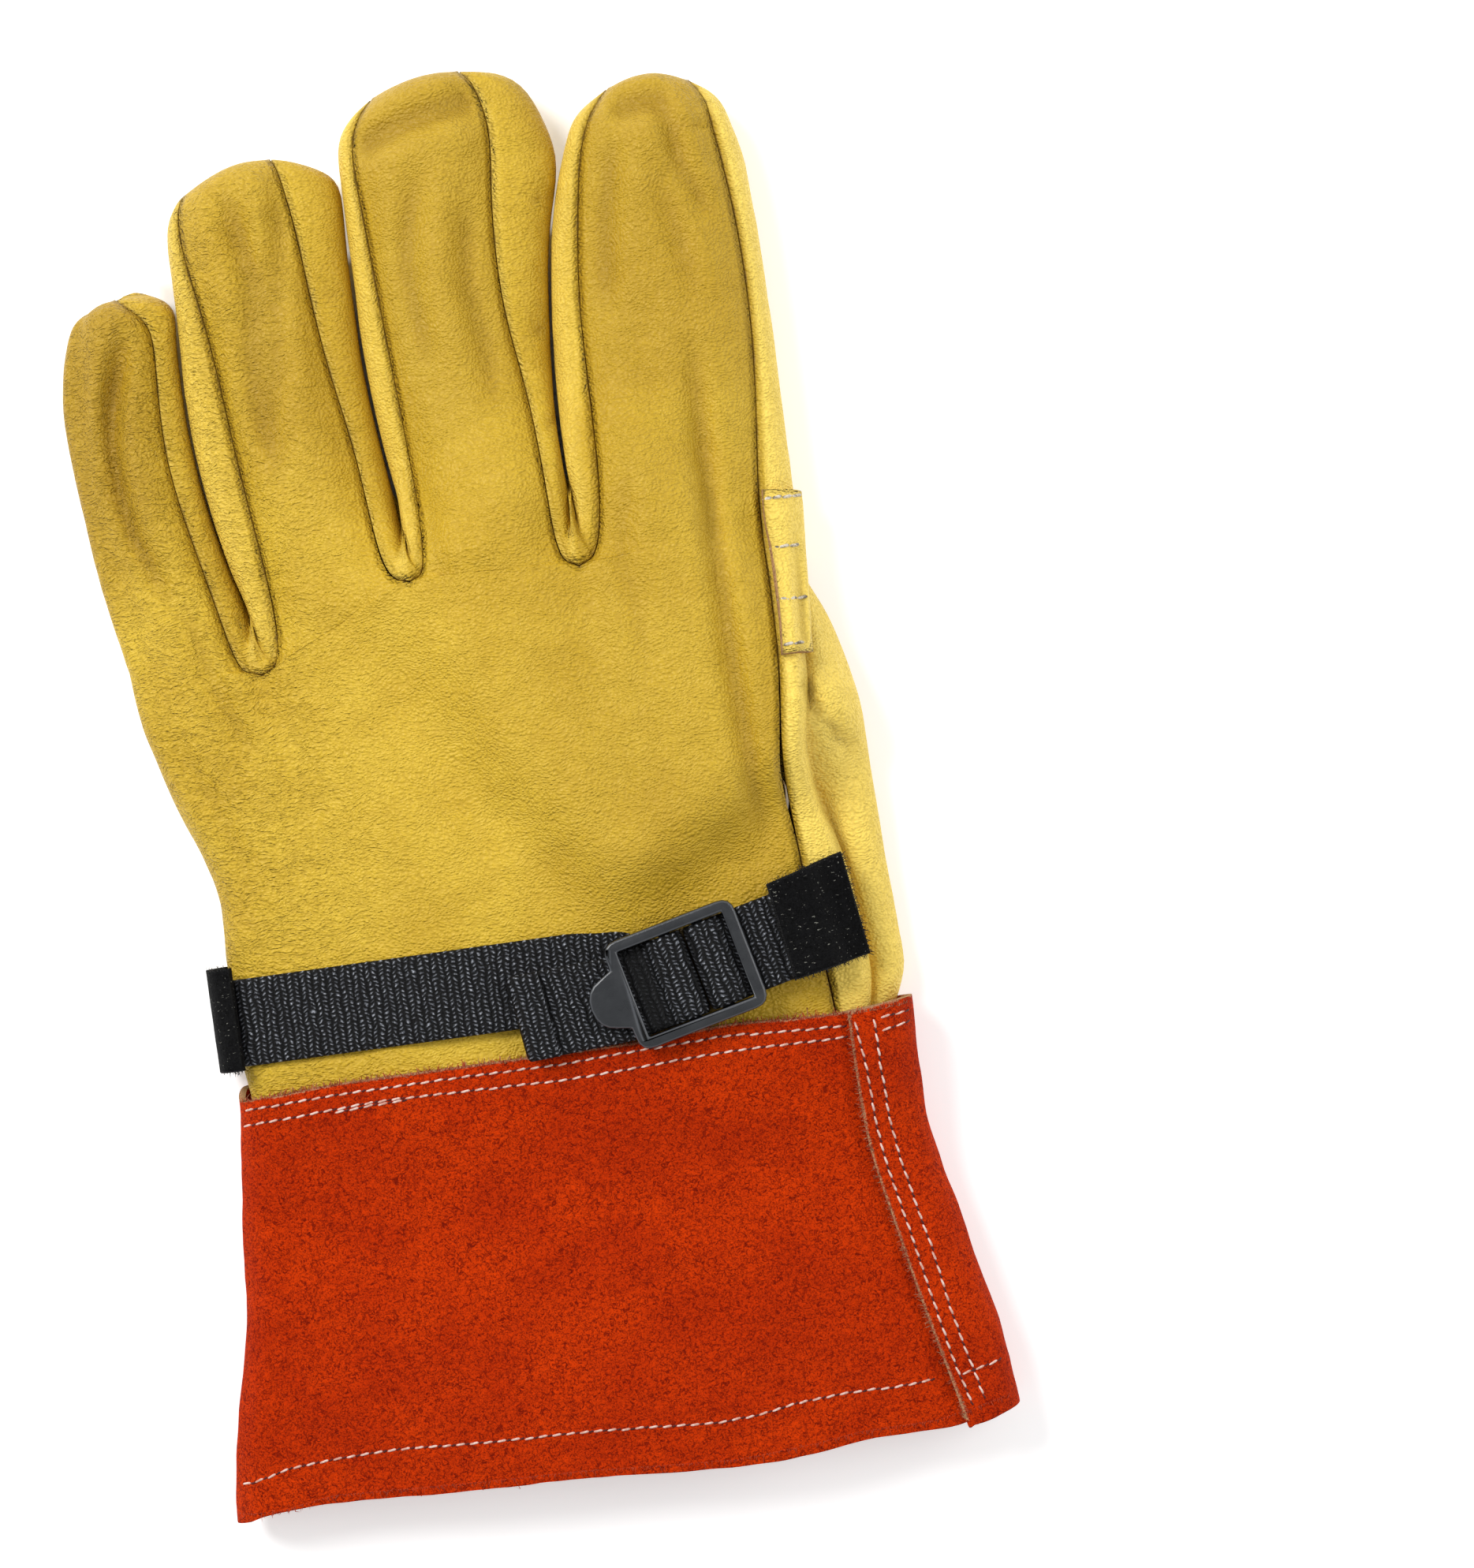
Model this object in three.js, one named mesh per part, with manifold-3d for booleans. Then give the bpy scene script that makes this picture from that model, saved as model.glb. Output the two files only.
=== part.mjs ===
// A left-hand leather protector glove lying on its palm, with the back of the hand up.
// Sizes are in mm. x runs to the thumb side, y to the fingertips, z up from the surface that the glove
// lies on.
import * as THREE from "three";
import loadManifold from "manifold-3d";

const LEATHER = 1.3;
const FOURCHETTE_LEATHER = 1.05;
const SUEDE = 1.6;
const WEBBING = 1.4;
const WEBBING_WIDTH = 19;
const HALF_GAP = 0.17;
const LAY_GAP = 0.45;
// Where three walls meet in a tight corner the seam is a little wider and the walls are skived thinner:
// the palm's crotches and the thumb's hole.
const TIGHT_CORNERS = [
  { x: -52.5, y: 92.5, reach: 5, halfGap: 1, wall: 0.6 },
  { x: -16.3, y: 105, reach: 6, halfGap: 1.1, wall: 0.5 },
  { x: 20.7, y: 107, reach: 5, halfGap: 1, wall: 0.6 },
  { x: 46, y: 35, reach: 14, halfGap: 0.5, wall: 1 },
];

const WRIST_Y = -24;
const TIP_Z = 7;
const TIP_SPLIT = 1;
const EDGE_Z = 8.5;
const PALM_SEAM_Z = 3;
const PALM_SEAM_SHARE = 0.75;
const TIP_START = 0.74;
const BACK_LIFT_SHARE = 0.6;
const FINGER_GAP = 0.3;
const TOUCH_REACH = 2.4;
const KNUCKLE_CROWN = 0.4;
const SEAM_DIP = 0.7;

// The sides of the fingers, one row a station from the crotch to the tip. seam is the back seam and edge is
// the outermost line of the side.
const LITTLE_OUTER = [
  { seamX: -74.5, seamY: 77, edgeX: -80.3, edgeY: 79.5 },
  { seamX: -76, seamY: 86, edgeX: -81.7, edgeY: 87 },
  { seamX: -77.5, seamY: 97, edgeX: -83.4, edgeY: 97 },
  { seamX: -79.5, seamY: 110, edgeX: -85.1, edgeY: 110 },
  { seamX: -81, seamY: 122, edgeX: -86.2, edgeY: 122 },
  { seamX: -81.8, seamY: 134, edgeX: -86.9, edgeY: 134 },
  { seamX: -81.8, seamY: 144.5, edgeX: -86.1, edgeY: 144.5 },
  { seamX: -80.8, seamY: 152.5, edgeX: -84.1, edgeY: 153 },
  { seamX: -79.4, seamY: 157.3, edgeX: -81.6, edgeY: 157.6 },
  { seamX: -77.5, seamY: 159.9, edgeX: -77.5, edgeY: 159.9 },
];
const LITTLE_INNER = [
  { seamX: -50.7, seamY: 75.7, edgeX: -51.6, edgeY: 84 },
  { seamX: -55.6, seamY: 78.3, edgeX: -52.4, edgeY: 88 },
  { seamX: -58.2, seamY: 88, edgeX: -54.5, edgeY: 97 },
  { seamX: -62, seamY: 106, edgeX: -58, edgeY: 112 },
  { seamX: -64.8, seamY: 121, edgeX: -59.5, edgeY: 125 },
  { seamX: -65.3, seamY: 136, edgeX: -60.4, edgeY: 138 },
  { seamX: -64.7, seamY: 147, edgeX: -60, edgeY: 149 },
  { seamX: -65.4, seamY: 154.5, edgeX: -60.1, edgeY: 157 },
  { seamX: -68.9, seamY: 159, edgeX: -64.6, edgeY: 161.2 },
  { seamX: -72.2, seamY: 161.9, edgeX: -72.2, edgeY: 161.9 },
];
const RING_LEFT = [
  { seamX: -50.7, seamY: 75.7, edgeX: -51.6, edgeY: 84 },
  { seamX: -47.4, seamY: 78.5, edgeX: -51.5, edgeY: 88 },
  { seamX: -46.6, seamY: 90, edgeX: -53, edgeY: 98 },
  { seamX: -49, seamY: 112, edgeX: -57.3, edgeY: 114 },
  { seamX: -50.8, seamY: 132, edgeX: -59.5, edgeY: 132 },
  { seamX: -52.3, seamY: 148.5, edgeX: -59.2, edgeY: 149 },
  { seamX: -54.4, seamY: 162, edgeX: -59.3, edgeY: 163 },
  { seamX: -55.5, seamY: 172, edgeX: -58.9, edgeY: 173.5 },
  { seamX: -55, seamY: 179, edgeX: -56.6, edgeY: 179.6 },
  { seamX: -53.4, seamY: 182.6, edgeX: -53.4, edgeY: 182.6 },
];
const RING_RIGHT = [
  { seamX: -15.8, seamY: 90.9, edgeX: -16, edgeY: 97.5 },
  { seamX: -19.6, seamY: 92.9, edgeX: -17, edgeY: 102 },
  { seamX: -22.4, seamY: 101, edgeX: -17.6, edgeY: 109 },
  { seamX: -23.6, seamY: 116, edgeX: -18.6, edgeY: 120 },
  { seamX: -26.2, seamY: 132, edgeX: -20.2, edgeY: 134 },
  { seamX: -28.6, seamY: 149, edgeX: -20.5, edgeY: 150 },
  { seamX: -29.8, seamY: 164.5, edgeX: -20.4, edgeY: 165 },
  { seamX: -31.1, seamY: 175.5, edgeX: -20.4, edgeY: 178.3 },
  { seamX: -32.6, seamY: 184, edgeX: -25.7, edgeY: 184.8 },
  { seamX: -34.2, seamY: 187.7, edgeX: -34.2, edgeY: 187.7 },
];
const MIDDLE_LEFT = [
  { seamX: -15.8, seamY: 90.9, edgeX: -16, edgeY: 97.5 },
  { seamX: -12.6, seamY: 93.5, edgeX: -15.8, edgeY: 102 },
  { seamX: -12.2, seamY: 104, edgeX: -16.5, edgeY: 110 },
  { seamX: -12.9, seamY: 121, edgeX: -18, edgeY: 122 },
  { seamX: -13.8, seamY: 138, edgeX: -19.6, edgeY: 139 },
  { seamX: -14.6, seamY: 153, edgeX: -19.7, edgeY: 154 },
  { seamX: -15.2, seamY: 168, edgeX: -19.6, edgeY: 169 },
  { seamX: -15.9, seamY: 180, edgeX: -19.6, edgeY: 182 },
  { seamX: -14.8, seamY: 190.5, edgeX: -17.6, edgeY: 191.6 },
  { seamX: -9.8, seamY: 198, edgeX: -9.8, edgeY: 198 },
];
const MIDDLE_RIGHT = [
  { seamX: 20.9, seamY: 89.1, edgeX: 20.8, edgeY: 98 },
  { seamX: 17.2, seamY: 92.6, edgeX: 20.2, edgeY: 102 },
  { seamX: 16.1, seamY: 104, edgeX: 20.1, edgeY: 110 },
  { seamX: 15.5, seamY: 122, edgeX: 20.1, edgeY: 124 },
  { seamX: 13, seamY: 139, edgeX: 21.3, edgeY: 140 },
  { seamX: 12.1, seamY: 156, edgeX: 23.2, edgeY: 157 },
  { seamX: 12.9, seamY: 172, edgeX: 26.9, edgeY: 173 },
  { seamX: 14.3, seamY: 185, edgeX: 26.8, edgeY: 185.4 },
  { seamX: 12.4, seamY: 196.2, edgeX: 20.8, edgeY: 197.6 },
  { seamX: 9, seamY: 201.1, edgeX: 9, edgeY: 201.1 },
];
const INDEX_LEFT = [
  { seamX: 20.9, seamY: 89.1, edgeX: 20.8, edgeY: 98 },
  { seamX: 24.9, seamY: 92.2, edgeX: 21.4, edgeY: 102 },
  { seamX: 27.2, seamY: 103, edgeX: 21.6, edgeY: 110 },
  { seamX: 28.1, seamY: 121, edgeX: 21.2, edgeY: 123 },
  { seamX: 28.2, seamY: 140, edgeX: 22, edgeY: 141 },
  { seamX: 29.8, seamY: 156.5, edgeX: 24, edgeY: 158 },
  { seamX: 31.9, seamY: 171.5, edgeX: 27.3, edgeY: 172.5 },
  { seamX: 34.4, seamY: 181.5, edgeX: 30.4, edgeY: 182 },
  { seamX: 37.2, seamY: 187.5, edgeX: 34.4, edgeY: 188.4 },
  { seamX: 41.5, seamY: 192.9, edgeX: 41.5, edgeY: 192.9 },
];
const INDEX_OUTER = [
  { seamX: 61.1, seamY: 89, edgeX: 68.5, edgeY: 90 },
  { seamX: 61.4, seamY: 97, edgeX: 68.9, edgeY: 97 },
  { seamX: 62.2, seamY: 107, edgeX: 69.1, edgeY: 107 },
  { seamX: 64, seamY: 122, edgeX: 69.3, edgeY: 122 },
  { seamX: 65.1, seamY: 140, edgeX: 69.5, edgeY: 140 },
  { seamX: 65, seamY: 156, edgeX: 69.3, edgeY: 156 },
  { seamX: 63.9, seamY: 170, edgeX: 68.8, edgeY: 171 },
  { seamX: 62.6, seamY: 181, edgeX: 67, edgeY: 181 },
  { seamX: 61.6, seamY: 187, edgeX: 64.2, edgeY: 187.8 },
  { seamX: 58.6, seamY: 192.2, edgeX: 58.6, edgeY: 192.2 },
];

// The lines where neighbouring fingers touch.
const GAP_LITTLE_RING = [
  { y: 80, x: -51.2 },
  { y: 90, x: -53 },
  { y: 100, x: -55.5 },
  { y: 110, x: -57.7 },
  { y: 120, x: -59.1 },
  { y: 136, x: -60.2 },
  { y: 151, x: -59.7 },
  { y: 165, x: -59.7 },
];
const GAP_RING_MIDDLE = [
  { y: 94, x: -15.6 },
  { y: 104, x: -16.8 },
  { y: 119, x: -18.3 },
  { y: 137, x: -20.1 },
  { y: 158, x: -20.1 },
  { y: 180, x: -19.9 },
];
const GAP_MIDDLE_INDEX = [
  { y: 93, x: 20.4 },
  { y: 101, x: 20.9 },
  { y: 111, x: 20.8 },
  { y: 121, x: 20.2 },
  { y: 130, x: 20.6 },
  { y: 148, x: 22.2 },
  { y: 164, x: 24.6 },
  { y: 179, x: 28.6 },
];

// gapSide is +1 for a side whose finger lies left of the gap, -1 for one right of it.
const SIDES = {
  littleOuter: { rows: LITTLE_OUTER, seamZ: 13.5 },
  littleInner: { rows: LITTLE_INNER, seamZ: 13.5, gap: GAP_LITTLE_RING, gapSide: 1 },
  ringLeft: { rows: RING_LEFT, seamZ: 15, gap: GAP_LITTLE_RING, gapSide: -1 },
  ringRight: { rows: RING_RIGHT, seamZ: 15, gap: GAP_RING_MIDDLE, gapSide: 1 },
  middleLeft: { rows: MIDDLE_LEFT, seamZ: 15.5, gap: GAP_RING_MIDDLE, gapSide: -1 },
  middleRight: { rows: MIDDLE_RIGHT, seamZ: 15.5, gap: GAP_MIDDLE_INDEX, gapSide: 1 },
  indexLeft: { rows: INDEX_LEFT, seamZ: 15.5, gap: GAP_MIDDLE_INDEX, gapSide: -1 },
  indexOuter: { rows: INDEX_OUTER, seamZ: 15.5 },
};
const FINGERS = {
  little: { left: "littleOuter", right: "littleInner", crown: 3, tipArc: 0.4 },
  ring: { left: "ringLeft", right: "ringRight", crown: 4, tipArc: 1.8 },
  middle: { left: "middleLeft", right: "middleRight", crown: 4.5, tipArc: 1.6 },
  index: { left: "indexLeft", right: "indexOuter", crown: 4.5, tipArc: 2.2 },
};

// The hand's edges, from the wrist to the fingers: little is the outermost line of the little-finger side,
// seam the outer seam, strip the crease beside it, and thumb the outermost line of the thumb side.
const HAND_EDGES = [
  { y: -24, little: -66, seam: 62.4, strip: 69.4, thumb: 74.6 },
  { y: -14, little: -66.6, seam: 62.4, strip: 70.2, thumb: 75.4 },
  { y: -6, little: -68, seam: 61.7, strip: 71.4, thumb: 79 },
  { y: 5, little: -68, seam: 60.6, strip: 70.6, thumb: 78.6 },
  { y: 16, little: -68.1, seam: 59.7, strip: 69.5, thumb: 78 },
  { y: 27, little: -67.3, seam: 59, strip: 67.2, thumb: 77.9 },
  { y: 38, little: -69.2, seam: 58.2, strip: 64.5, thumb: 77.6 },
  { y: 48, little: -72.7, seam: 58.9, strip: 64.7, thumb: 77.4 },
  { y: 57, little: -75.2, seam: 60, strip: 66, thumb: 76.3 },
  { y: 66, little: -77.5, seam: 60.8, strip: 66.6, thumb: 74.6 },
  { y: 76, little: -79.6, seam: 61, strip: 67.1, thumb: 72.4 },
  { y: 90, little: -82.2, seam: 61.1, strip: 68.4, thumb: 68.5 },
];
// Heights of the back of the hand over the little finger's side, the middle and the thumb's side.
const BACK_HEIGHTS = [
  { y: -24, little: 12, middle: 14, thumb: 14 },
  { y: -12, little: 12.4, middle: 15, thumb: 15 },
  { y: 5, little: 13, middle: 17, thumb: 17.5 },
  { y: 45, little: 14, middle: 18.5, thumb: 19.5 },
  { y: 75, little: 14.3, middle: 18, thumb: 18 },
  { y: 95, little: 14.5, middle: 17, thumb: 16 },
];
const BACK_SPAN = { from: -70, width: 132 };
const FOLD_INSET = 6;
const LITTLE_SIDE = { edgeZ: 7.5, palmInset: 5, palmZ: 0.8 };
const KNUCKLE_ZONE = [68, 90];
const PALM_RIM = 0.8;
// The thumb side in section, from the outer seam down to the palm: each row mixes the three edges and the
// height.
const THUMB_SIDE = [
  { seam: 1, strip: 0, thumb: 0, out: 0, top: 1, rise: 0 },
  { seam: 0, strip: 1, thumb: 0, out: -2.4, top: 1, rise: -0.6 },
  { seam: 0, strip: 1, thumb: 0, out: 0, top: 1, rise: -3.4 },
  { seam: 0, strip: 1, thumb: 0, out: -0.8, top: 1, rise: -7 },
  { seam: 0, strip: 0, thumb: 1, out: -4.2, top: 0.42, rise: 3.4 },
  { seam: 0, strip: 0, thumb: 1, out: 0, top: 0.3, rise: 1 },
  { seam: 0, strip: 0, thumb: 1, out: -2.2, top: 0.1, rise: 0.4 },
  { seam: 0, strip: 0, thumb: 1, out: -8.5, top: 0, rise: 0.8 },
];

// Creases of the back: soft grooves along straight runs.
const CREASES = [
  { x1: -71.2, y1: 151, x2: -76.8, y2: 131, width: 4.5, depth: 2.2 },
  { x1: -76.8, y1: 131, x2: -74.7, y2: 110, width: 4.5, depth: 2.2 },
  { x1: -74.7, y1: 110, x2: -69, y2: 95, width: 4, depth: 1.4 },
  { x1: -43.7, y1: 178, x2: -41, y2: 158, width: 4, depth: 1 },
  { x1: -42, y1: 150, x2: -44, y2: 126, width: 4, depth: 0.9 },
  { x1: -34.5, y1: 174, x2: -39, y2: 138, width: 4, depth: 0.9 },
  { x1: -13, y1: 187, x2: 12, y2: 191, width: 3.5, depth: 1.5 },
  { x1: -3, y1: 176, x2: -7, y2: 148, width: 4, depth: 0.8 },
  { x1: 6, y1: 169, x2: 7, y2: 134, width: 4, depth: 0.8 },
  { x1: 40, y1: 186, x2: 52, y2: 187, width: 4, depth: 1.2 },
  { x1: 39, y1: 174, x2: 35, y2: 154, width: 4, depth: 0.9 },
  { x1: 51, y1: 168, x2: 53, y2: 152, width: 4, depth: 0.9 },
  { x1: 50.5, y1: 122, x2: 50.5, y2: 62, width: 5, depth: 1.1 },
  { x1: 50.5, y1: 62, x2: 52.5, y2: 27, width: 5, depth: 1.1 },
];

// The thumb lies under the palm: its hole in the palm, its way to the tip and its height.
const THUMB_HOLE = { x: 46, y: 35, radius: 13 };
const THUMB_AXIS = { x: -0.507, y: 0.862 };
const THUMB_ACROSS = { x: 0.862, y: 0.507 };
const THUMB_TOP = 9.9;
const THUMB_LIFT = 12.6;
const THUMB_TIP = { along: 77, height: 0.35 };
const THUMB_MOUTH_STEPS = [0, 0.4, 0.75];
const THUMB_SECTIONS = [
  { along: 19, half: 22, height: 1 },
  { along: 30, half: 22.4, height: 1 },
  { along: 41, half: 22.2, height: 1 },
  { along: 52, half: 21.6, height: 0.99 },
  { along: 61, half: 20, height: 0.97 },
  { along: 68, half: 17, height: 0.93 },
  { along: 73, half: 12.5, height: 0.85 },
  { along: 75.8, half: 6.5, height: 0.7 },
];

// The reinforcement on the palm: its outer and inner edge, from the wrist to the index side.
const PATCH_ROWS = [
  { outerX: -15, outerY: -12.2, innerX: 15.6, innerY: -12.2 },
  { outerX: -19, outerY: 13, innerX: 11.5, innerY: 9 },
  { outerX: -21.5, outerY: 32, innerX: 9, innerY: 27 },
  { outerX: -22, outerY: 50, innerX: 8, innerY: 44 },
  { outerX: -19.5, outerY: 68, innerX: 10, innerY: 56 },
  { outerX: -11, outerY: 84, innerX: 17, innerY: 62.5 },
  { outerX: 8, outerY: 94, innerX: 26, innerY: 64 },
  { outerX: 32, outerY: 97.5, innerX: 40, innerY: 64 },
  { outerX: 53, outerY: 99.5, innerX: 52, innerY: 66 },
  { outerX: 61.5, outerY: 100, innerX: 61, innerY: 77 },
];
const PATCH_END = { low: 63.8, high: 100, lowOnSide: 84 };
const PALM_REACH = 4;
const PATCH_LAY = 1.95;
const INDEX_ROW_SPACING = 8;
const WRIST_LAY = 3;
const TONGUE_LAY = 4.6;
// Where the flap and the two legs of the reinforcement lie, each side as the band over which its zone fades.
const TONGUE_ZONE = { left: [-46, -36], right: [62, 52], low: [-62, -51], high: [-4, -10] };
const PATCH_UPRIGHT_ZONE = { left: [-38, -29], right: [32, 23], low: [-26, -20], high: [84, 76] };
const PATCH_LEVEL_ZONE = { left: [-36, -27], right: [120, 110], low: [47, 56], high: [116, 107] };
const THUMB_ZONE = { start: [-12, 3], end: [99, 80], side: [46, 25] };
const WRIST_ZONE = [-3, -11];
const TONGUE_END_Y = -30;

// The half-moon flap over the cuff on the palm side.
const TONGUE_ROWS = [
  { y: -12.9, left: -32, right: 48.5 },
  { y: -17, left: -28.5, right: 47.4 },
  { y: -23, left: -22.5, right: 44.8 },
  { y: -30, left: -15, right: 39 },
  { y: -37, left: -7.5, right: 31.5 },
  { y: -43, left: -1, right: 22.5 },
  { y: -48.3, left: 5.5, right: 11 },
];

// The cuff's outline, a row a height: little and thumb are its outermost lines and lap is the raw edge of
// the lap.
const CUFF_EDGES = [
  { y: -12, little: -69.2, thumb: 79.5, lap: 64.9, top: 17.2 },
  { y: -26, little: -70.7, thumb: 79, lap: 64.9, top: 17.4 },
  { y: -39, little: -72.3, thumb: 79, lap: 65.1, top: 17.8 },
  { y: -49, little: -73.3, thumb: 80.7, lap: 66.4, top: 18.2 },
  { y: -60, little: -74.4, thumb: 82.9, lap: 68.5, top: 18.6 },
  { y: -72, little: -76.4, thumb: 85.5, lap: 70.8, top: 19 },
  { y: -84, little: -78.9, thumb: 88.4, lap: 73.2, top: 19.5 },
  { y: -94, little: -81.5, thumb: 89.6, lap: 75.7, top: 20 },
  { y: -107, little: -82.6, thumb: 90.8, lap: 78.6, top: 20.5 },
];
const CUFF_TOP_EDGE = [
  { x: -85, y: -15.6 },
  { x: -69, y: -15.5 },
  { x: -50, y: -14.5 },
  { x: 19, y: -14.5 },
  { x: 40, y: -13.4 },
  { x: 64, y: -14.4 },
  { x: 92, y: -12 },
];
const CUFF_BOTTOM_EDGE = [
  { x: -85, y: -105.2 },
  { x: -73, y: -105.2 },
  { x: -60, y: -103.1 },
  { x: -29, y: -104.3 },
  { x: -7, y: -104.9 },
  { x: 14, y: -106.3 },
  { x: 28, y: -107.2 },
  { x: 45, y: -106.2 },
  { x: 55, y: -105.1 },
  { x: 72, y: -105.2 },
  { x: 92, y: -100.6 },
];
const CUFF_PALM_TOP_Y = -13;
const CUFF_OVER_HAND = 2.7;
const CUFF_CROWN = { centre: 5, half: 75, drop: 0.18 };
const CUFF_OVER_WRIST = [-38, -26];
const CUFF_START_MARGIN = 4.5;
const CUFF_LAP_WIDTH = 4;
const CUFF_ROWS = 6;
const CUFF_UNDERLAP = 8.5;
const CUFF_FOLD = 9;
// The cuff in section: under the lap, over the back, round the little side, under the palm side, round the
// thumb side and over its own start.
const CUFF_COLUMNS = { back: 12, littleFold: 5, palm: 10, thumbFold: 5, lap: 3 };
// The hem turned in at the cuff's mouth.
const HEM_FOLD = [
  { inward: 0.5, up: -0.4 },
  { inward: 1.9, up: 0 },
  { inward: 2.4, up: 1.2 },
  { inward: 2.4, up: 8.5 },
];

const BUCKLE = { x: 32.6, y: -0.9, turn: THREE.MathUtils.degToRad(13.2) };
const BUCKLE_FRAME = {
  left: -16.2, right: 13.7, half: 12.3, openLeft: -13.4, openRight: 10.9, openHalf: 9.8, corner: 3.4,
  height: 2.5,
};
const BUCKLE_TAB = { nose: -23, half: 6.6, round: 4 };
const BUCKLE_BARS = [-2.6, 5];
const BUCKLE_BAR = { width: 2.2, bottom: 2.2, top: 3.75 };
const BUCKLE_LIFT = 3.75;

// How the strap lies round its buckle bar, in the buckle's own length and in height over the leather.
const STRAP_LOOP = [
  { along: -5.4, rise: 0.7 },
  { along: -1.7, rise: 0.85 },
  { along: 0.1, rise: 1.9 },
  { along: 0.3, rise: 3.4 },
  { along: -0.7, rise: 4.5 },
  { along: -3.4, rise: 4.8 },
  { along: -6.2, rise: 4.2 },
  { along: -8, rise: 3 },
  { along: -10.2, rise: 2.7 },
];
const BUCKLE_RESTS = [
  { x: 20, y: -2 },
  { x: 32, y: 0 },
  { x: 46, y: 2 },
];
const BUCKLE_HALF_REACH = 13;
const STRIP_REACH = 3;
const STRIP_SHARE = 0.34;
const STRAP_Y = 1.3;
const STRAP_SIDE_Z = 8;
const STRAP_STOPS = [-52, -40, -26, -14, -6, 2, 8, 13.5, 19.5];
const STRAP_LEVELS = [-10, 12];
// Before the buckle the strap drops a little and starts to turn; under the frame it turns the rest.
const STRAP_TURN_START = 6;
const STRAP_TURN_END = 20;
const STRAP_DROP_Y = 0.1;
const STRAP_TURN_SHARE = 0.25;
// The tail runs back over the strap to a hem turned up at its end.
const TAIL_START = -16;
const TAIL_RISE = 2.7;
const TAIL_SHARES = [0.35, 0.7, 0.94];
const TAIL_END = { x: -5.4, y: -5.9, turn: THREE.MathUtils.degToRad(7.6) };
const TAIL_HEM = 6.3;
const HEM_RISE = 1.9;
const STRAP_END_Z = 4.2;
const STRAP_END_INSET = 0.4;

// The anchor leaves the buckle as two layers, one on the other.
const ANCHOR_STOPS = [17, 27.5];
const KEEPER_THUMB = [
  { x: 51.2, y: 15.6 },
  { x: 68.3, y: 20.2 },
  { x: 71.6, y: -2.5 },
  { x: 54.5, y: -5.7 },
];
const KEEPER_THUMB_STEP = [0.5, 0.85];
const KEEPER_LITTLE = { top: 13.6, bottom: -8.9, inner: -66.8, outer: -72.9 };
const KEEPER_LITTLE_SIDE = [
  { inset: 3.4, z: 0.6 },
  { inset: 1.4, z: 2.2 },
  { inset: 0.3, z: 4.8 },
  { inset: 0, z: 8 },
  { inset: 0.5, z: 11.6 },
];
const KEEPER_LITTLE_BEND = { inset: 2.2, drop: 1.4 };

const GROUP_COLUMNS = {
  thumbWrap: 7, palmIndex: 8, palmMiddle: 4, palmRing: 4, palmLittle: 4, littleWrap: 4, backLittle: 5,
  backRing: 5, backMiddle: 5, backIndex: 7,
};
const HAND_ROWS = 14;
const FINGER_STATIONS = [0.035, 0.09, 0.17, 0.27, 0.38, 0.49, 0.6, 0.7, 0.79, 0.87, 0.94, 0.985, 1];
const FOURCHETTE_COLUMNS = 4;

const clamp = THREE.MathUtils.clamp;
const lerp = THREE.MathUtils.lerp;

function ramp(value, start, end) {
  const t = clamp((value - start) / (end - start), 0, 1);
  return t * t * (3 - 2 * t);
}

function curveThrough(values, at) {
  const i = clamp(Math.floor(at), 0, values.length - 2);
  const t = at - i;
  const here = values[i];
  const next = values[i + 1];
  const before = values[i - 1] ?? 2 * here - next;
  const after = values[i + 2] ?? 2 * next - here;
  const slopeHere = (next - before) / 2;
  const slopeNext = (after - here) / 2;
  const bend = 3 * (next - here) - 2 * slopeHere - slopeNext;
  const twist = 2 * (here - next) + slopeHere + slopeNext;
  return here + t * (slopeHere + t * (bend + t * twist));
}

// Reads a column of a table at a value of its key column, along a smooth curve.
function readTable(rows, key, column, value) {
  const rising = rows[rows.length - 1][key] > rows[0][key];
  let i = 0;
  while (i < rows.length - 2 && (rising ? value > rows[i + 1][key] : value < rows[i + 1][key])) {
    i += 1;
  }
  const t = clamp((value - rows[i][key]) / (rows[i + 1][key] - rows[i][key]), 0, 1);
  return curveThrough(rows.map((row) => row[column]), i + t);
}

function roundOff(share) {
  const t = clamp((share - TIP_START) / (1 - TIP_START), 0, 1);
  return Math.sqrt(1 - t * t);
}

// Shares of the thumb's axis: how far a point lies along it and across it from the hole.
function thumbFrame(x, y) {
  const dx = x - THUMB_HOLE.x;
  const dy = y - THUMB_HOLE.y;
  return {
    along: dx * THUMB_AXIS.x + dy * THUMB_AXIS.y,
    across: dx * THUMB_ACROSS.x + dy * THUMB_ACROSS.y,
  };
}

// A zone in plan that fades in and out over a band at each of its sides.
function zone(x, y, sides) {
  const across = ramp(x, sides.left[0], sides.left[1]) * ramp(x, sides.right[0], sides.right[1]);
  return across * ramp(y, sides.low[0], sides.low[1]) * ramp(y, sides.high[0], sides.high[1]);
}

function tongueLift(x, y) {
  return zone(x, y, TONGUE_ZONE);
}

function patchLift(x, y) {
  return Math.max(zone(x, y, PATCH_UPRIGHT_ZONE), zone(x, y, PATCH_LEVEL_ZONE));
}

// How far the palm is lifted by what lies under it: the thumb, the reinforcement, the cuff and its flap.
function lift(x, y) {
  const { along, across } = thumbFrame(x, y);
  const overThumb = ramp(along, ...THUMB_ZONE.start) * ramp(along, ...THUMB_ZONE.end)
    * ramp(Math.abs(across), ...THUMB_ZONE.side);
  return Math.max(
    THUMB_LIFT * overThumb,
    PATCH_LAY * patchLift(x, y),
    WRIST_LAY * ramp(y, ...WRIST_ZONE),
    TONGUE_LAY * tongueLift(x, Math.max(y, TONGUE_END_Y)),
  );
}

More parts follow.
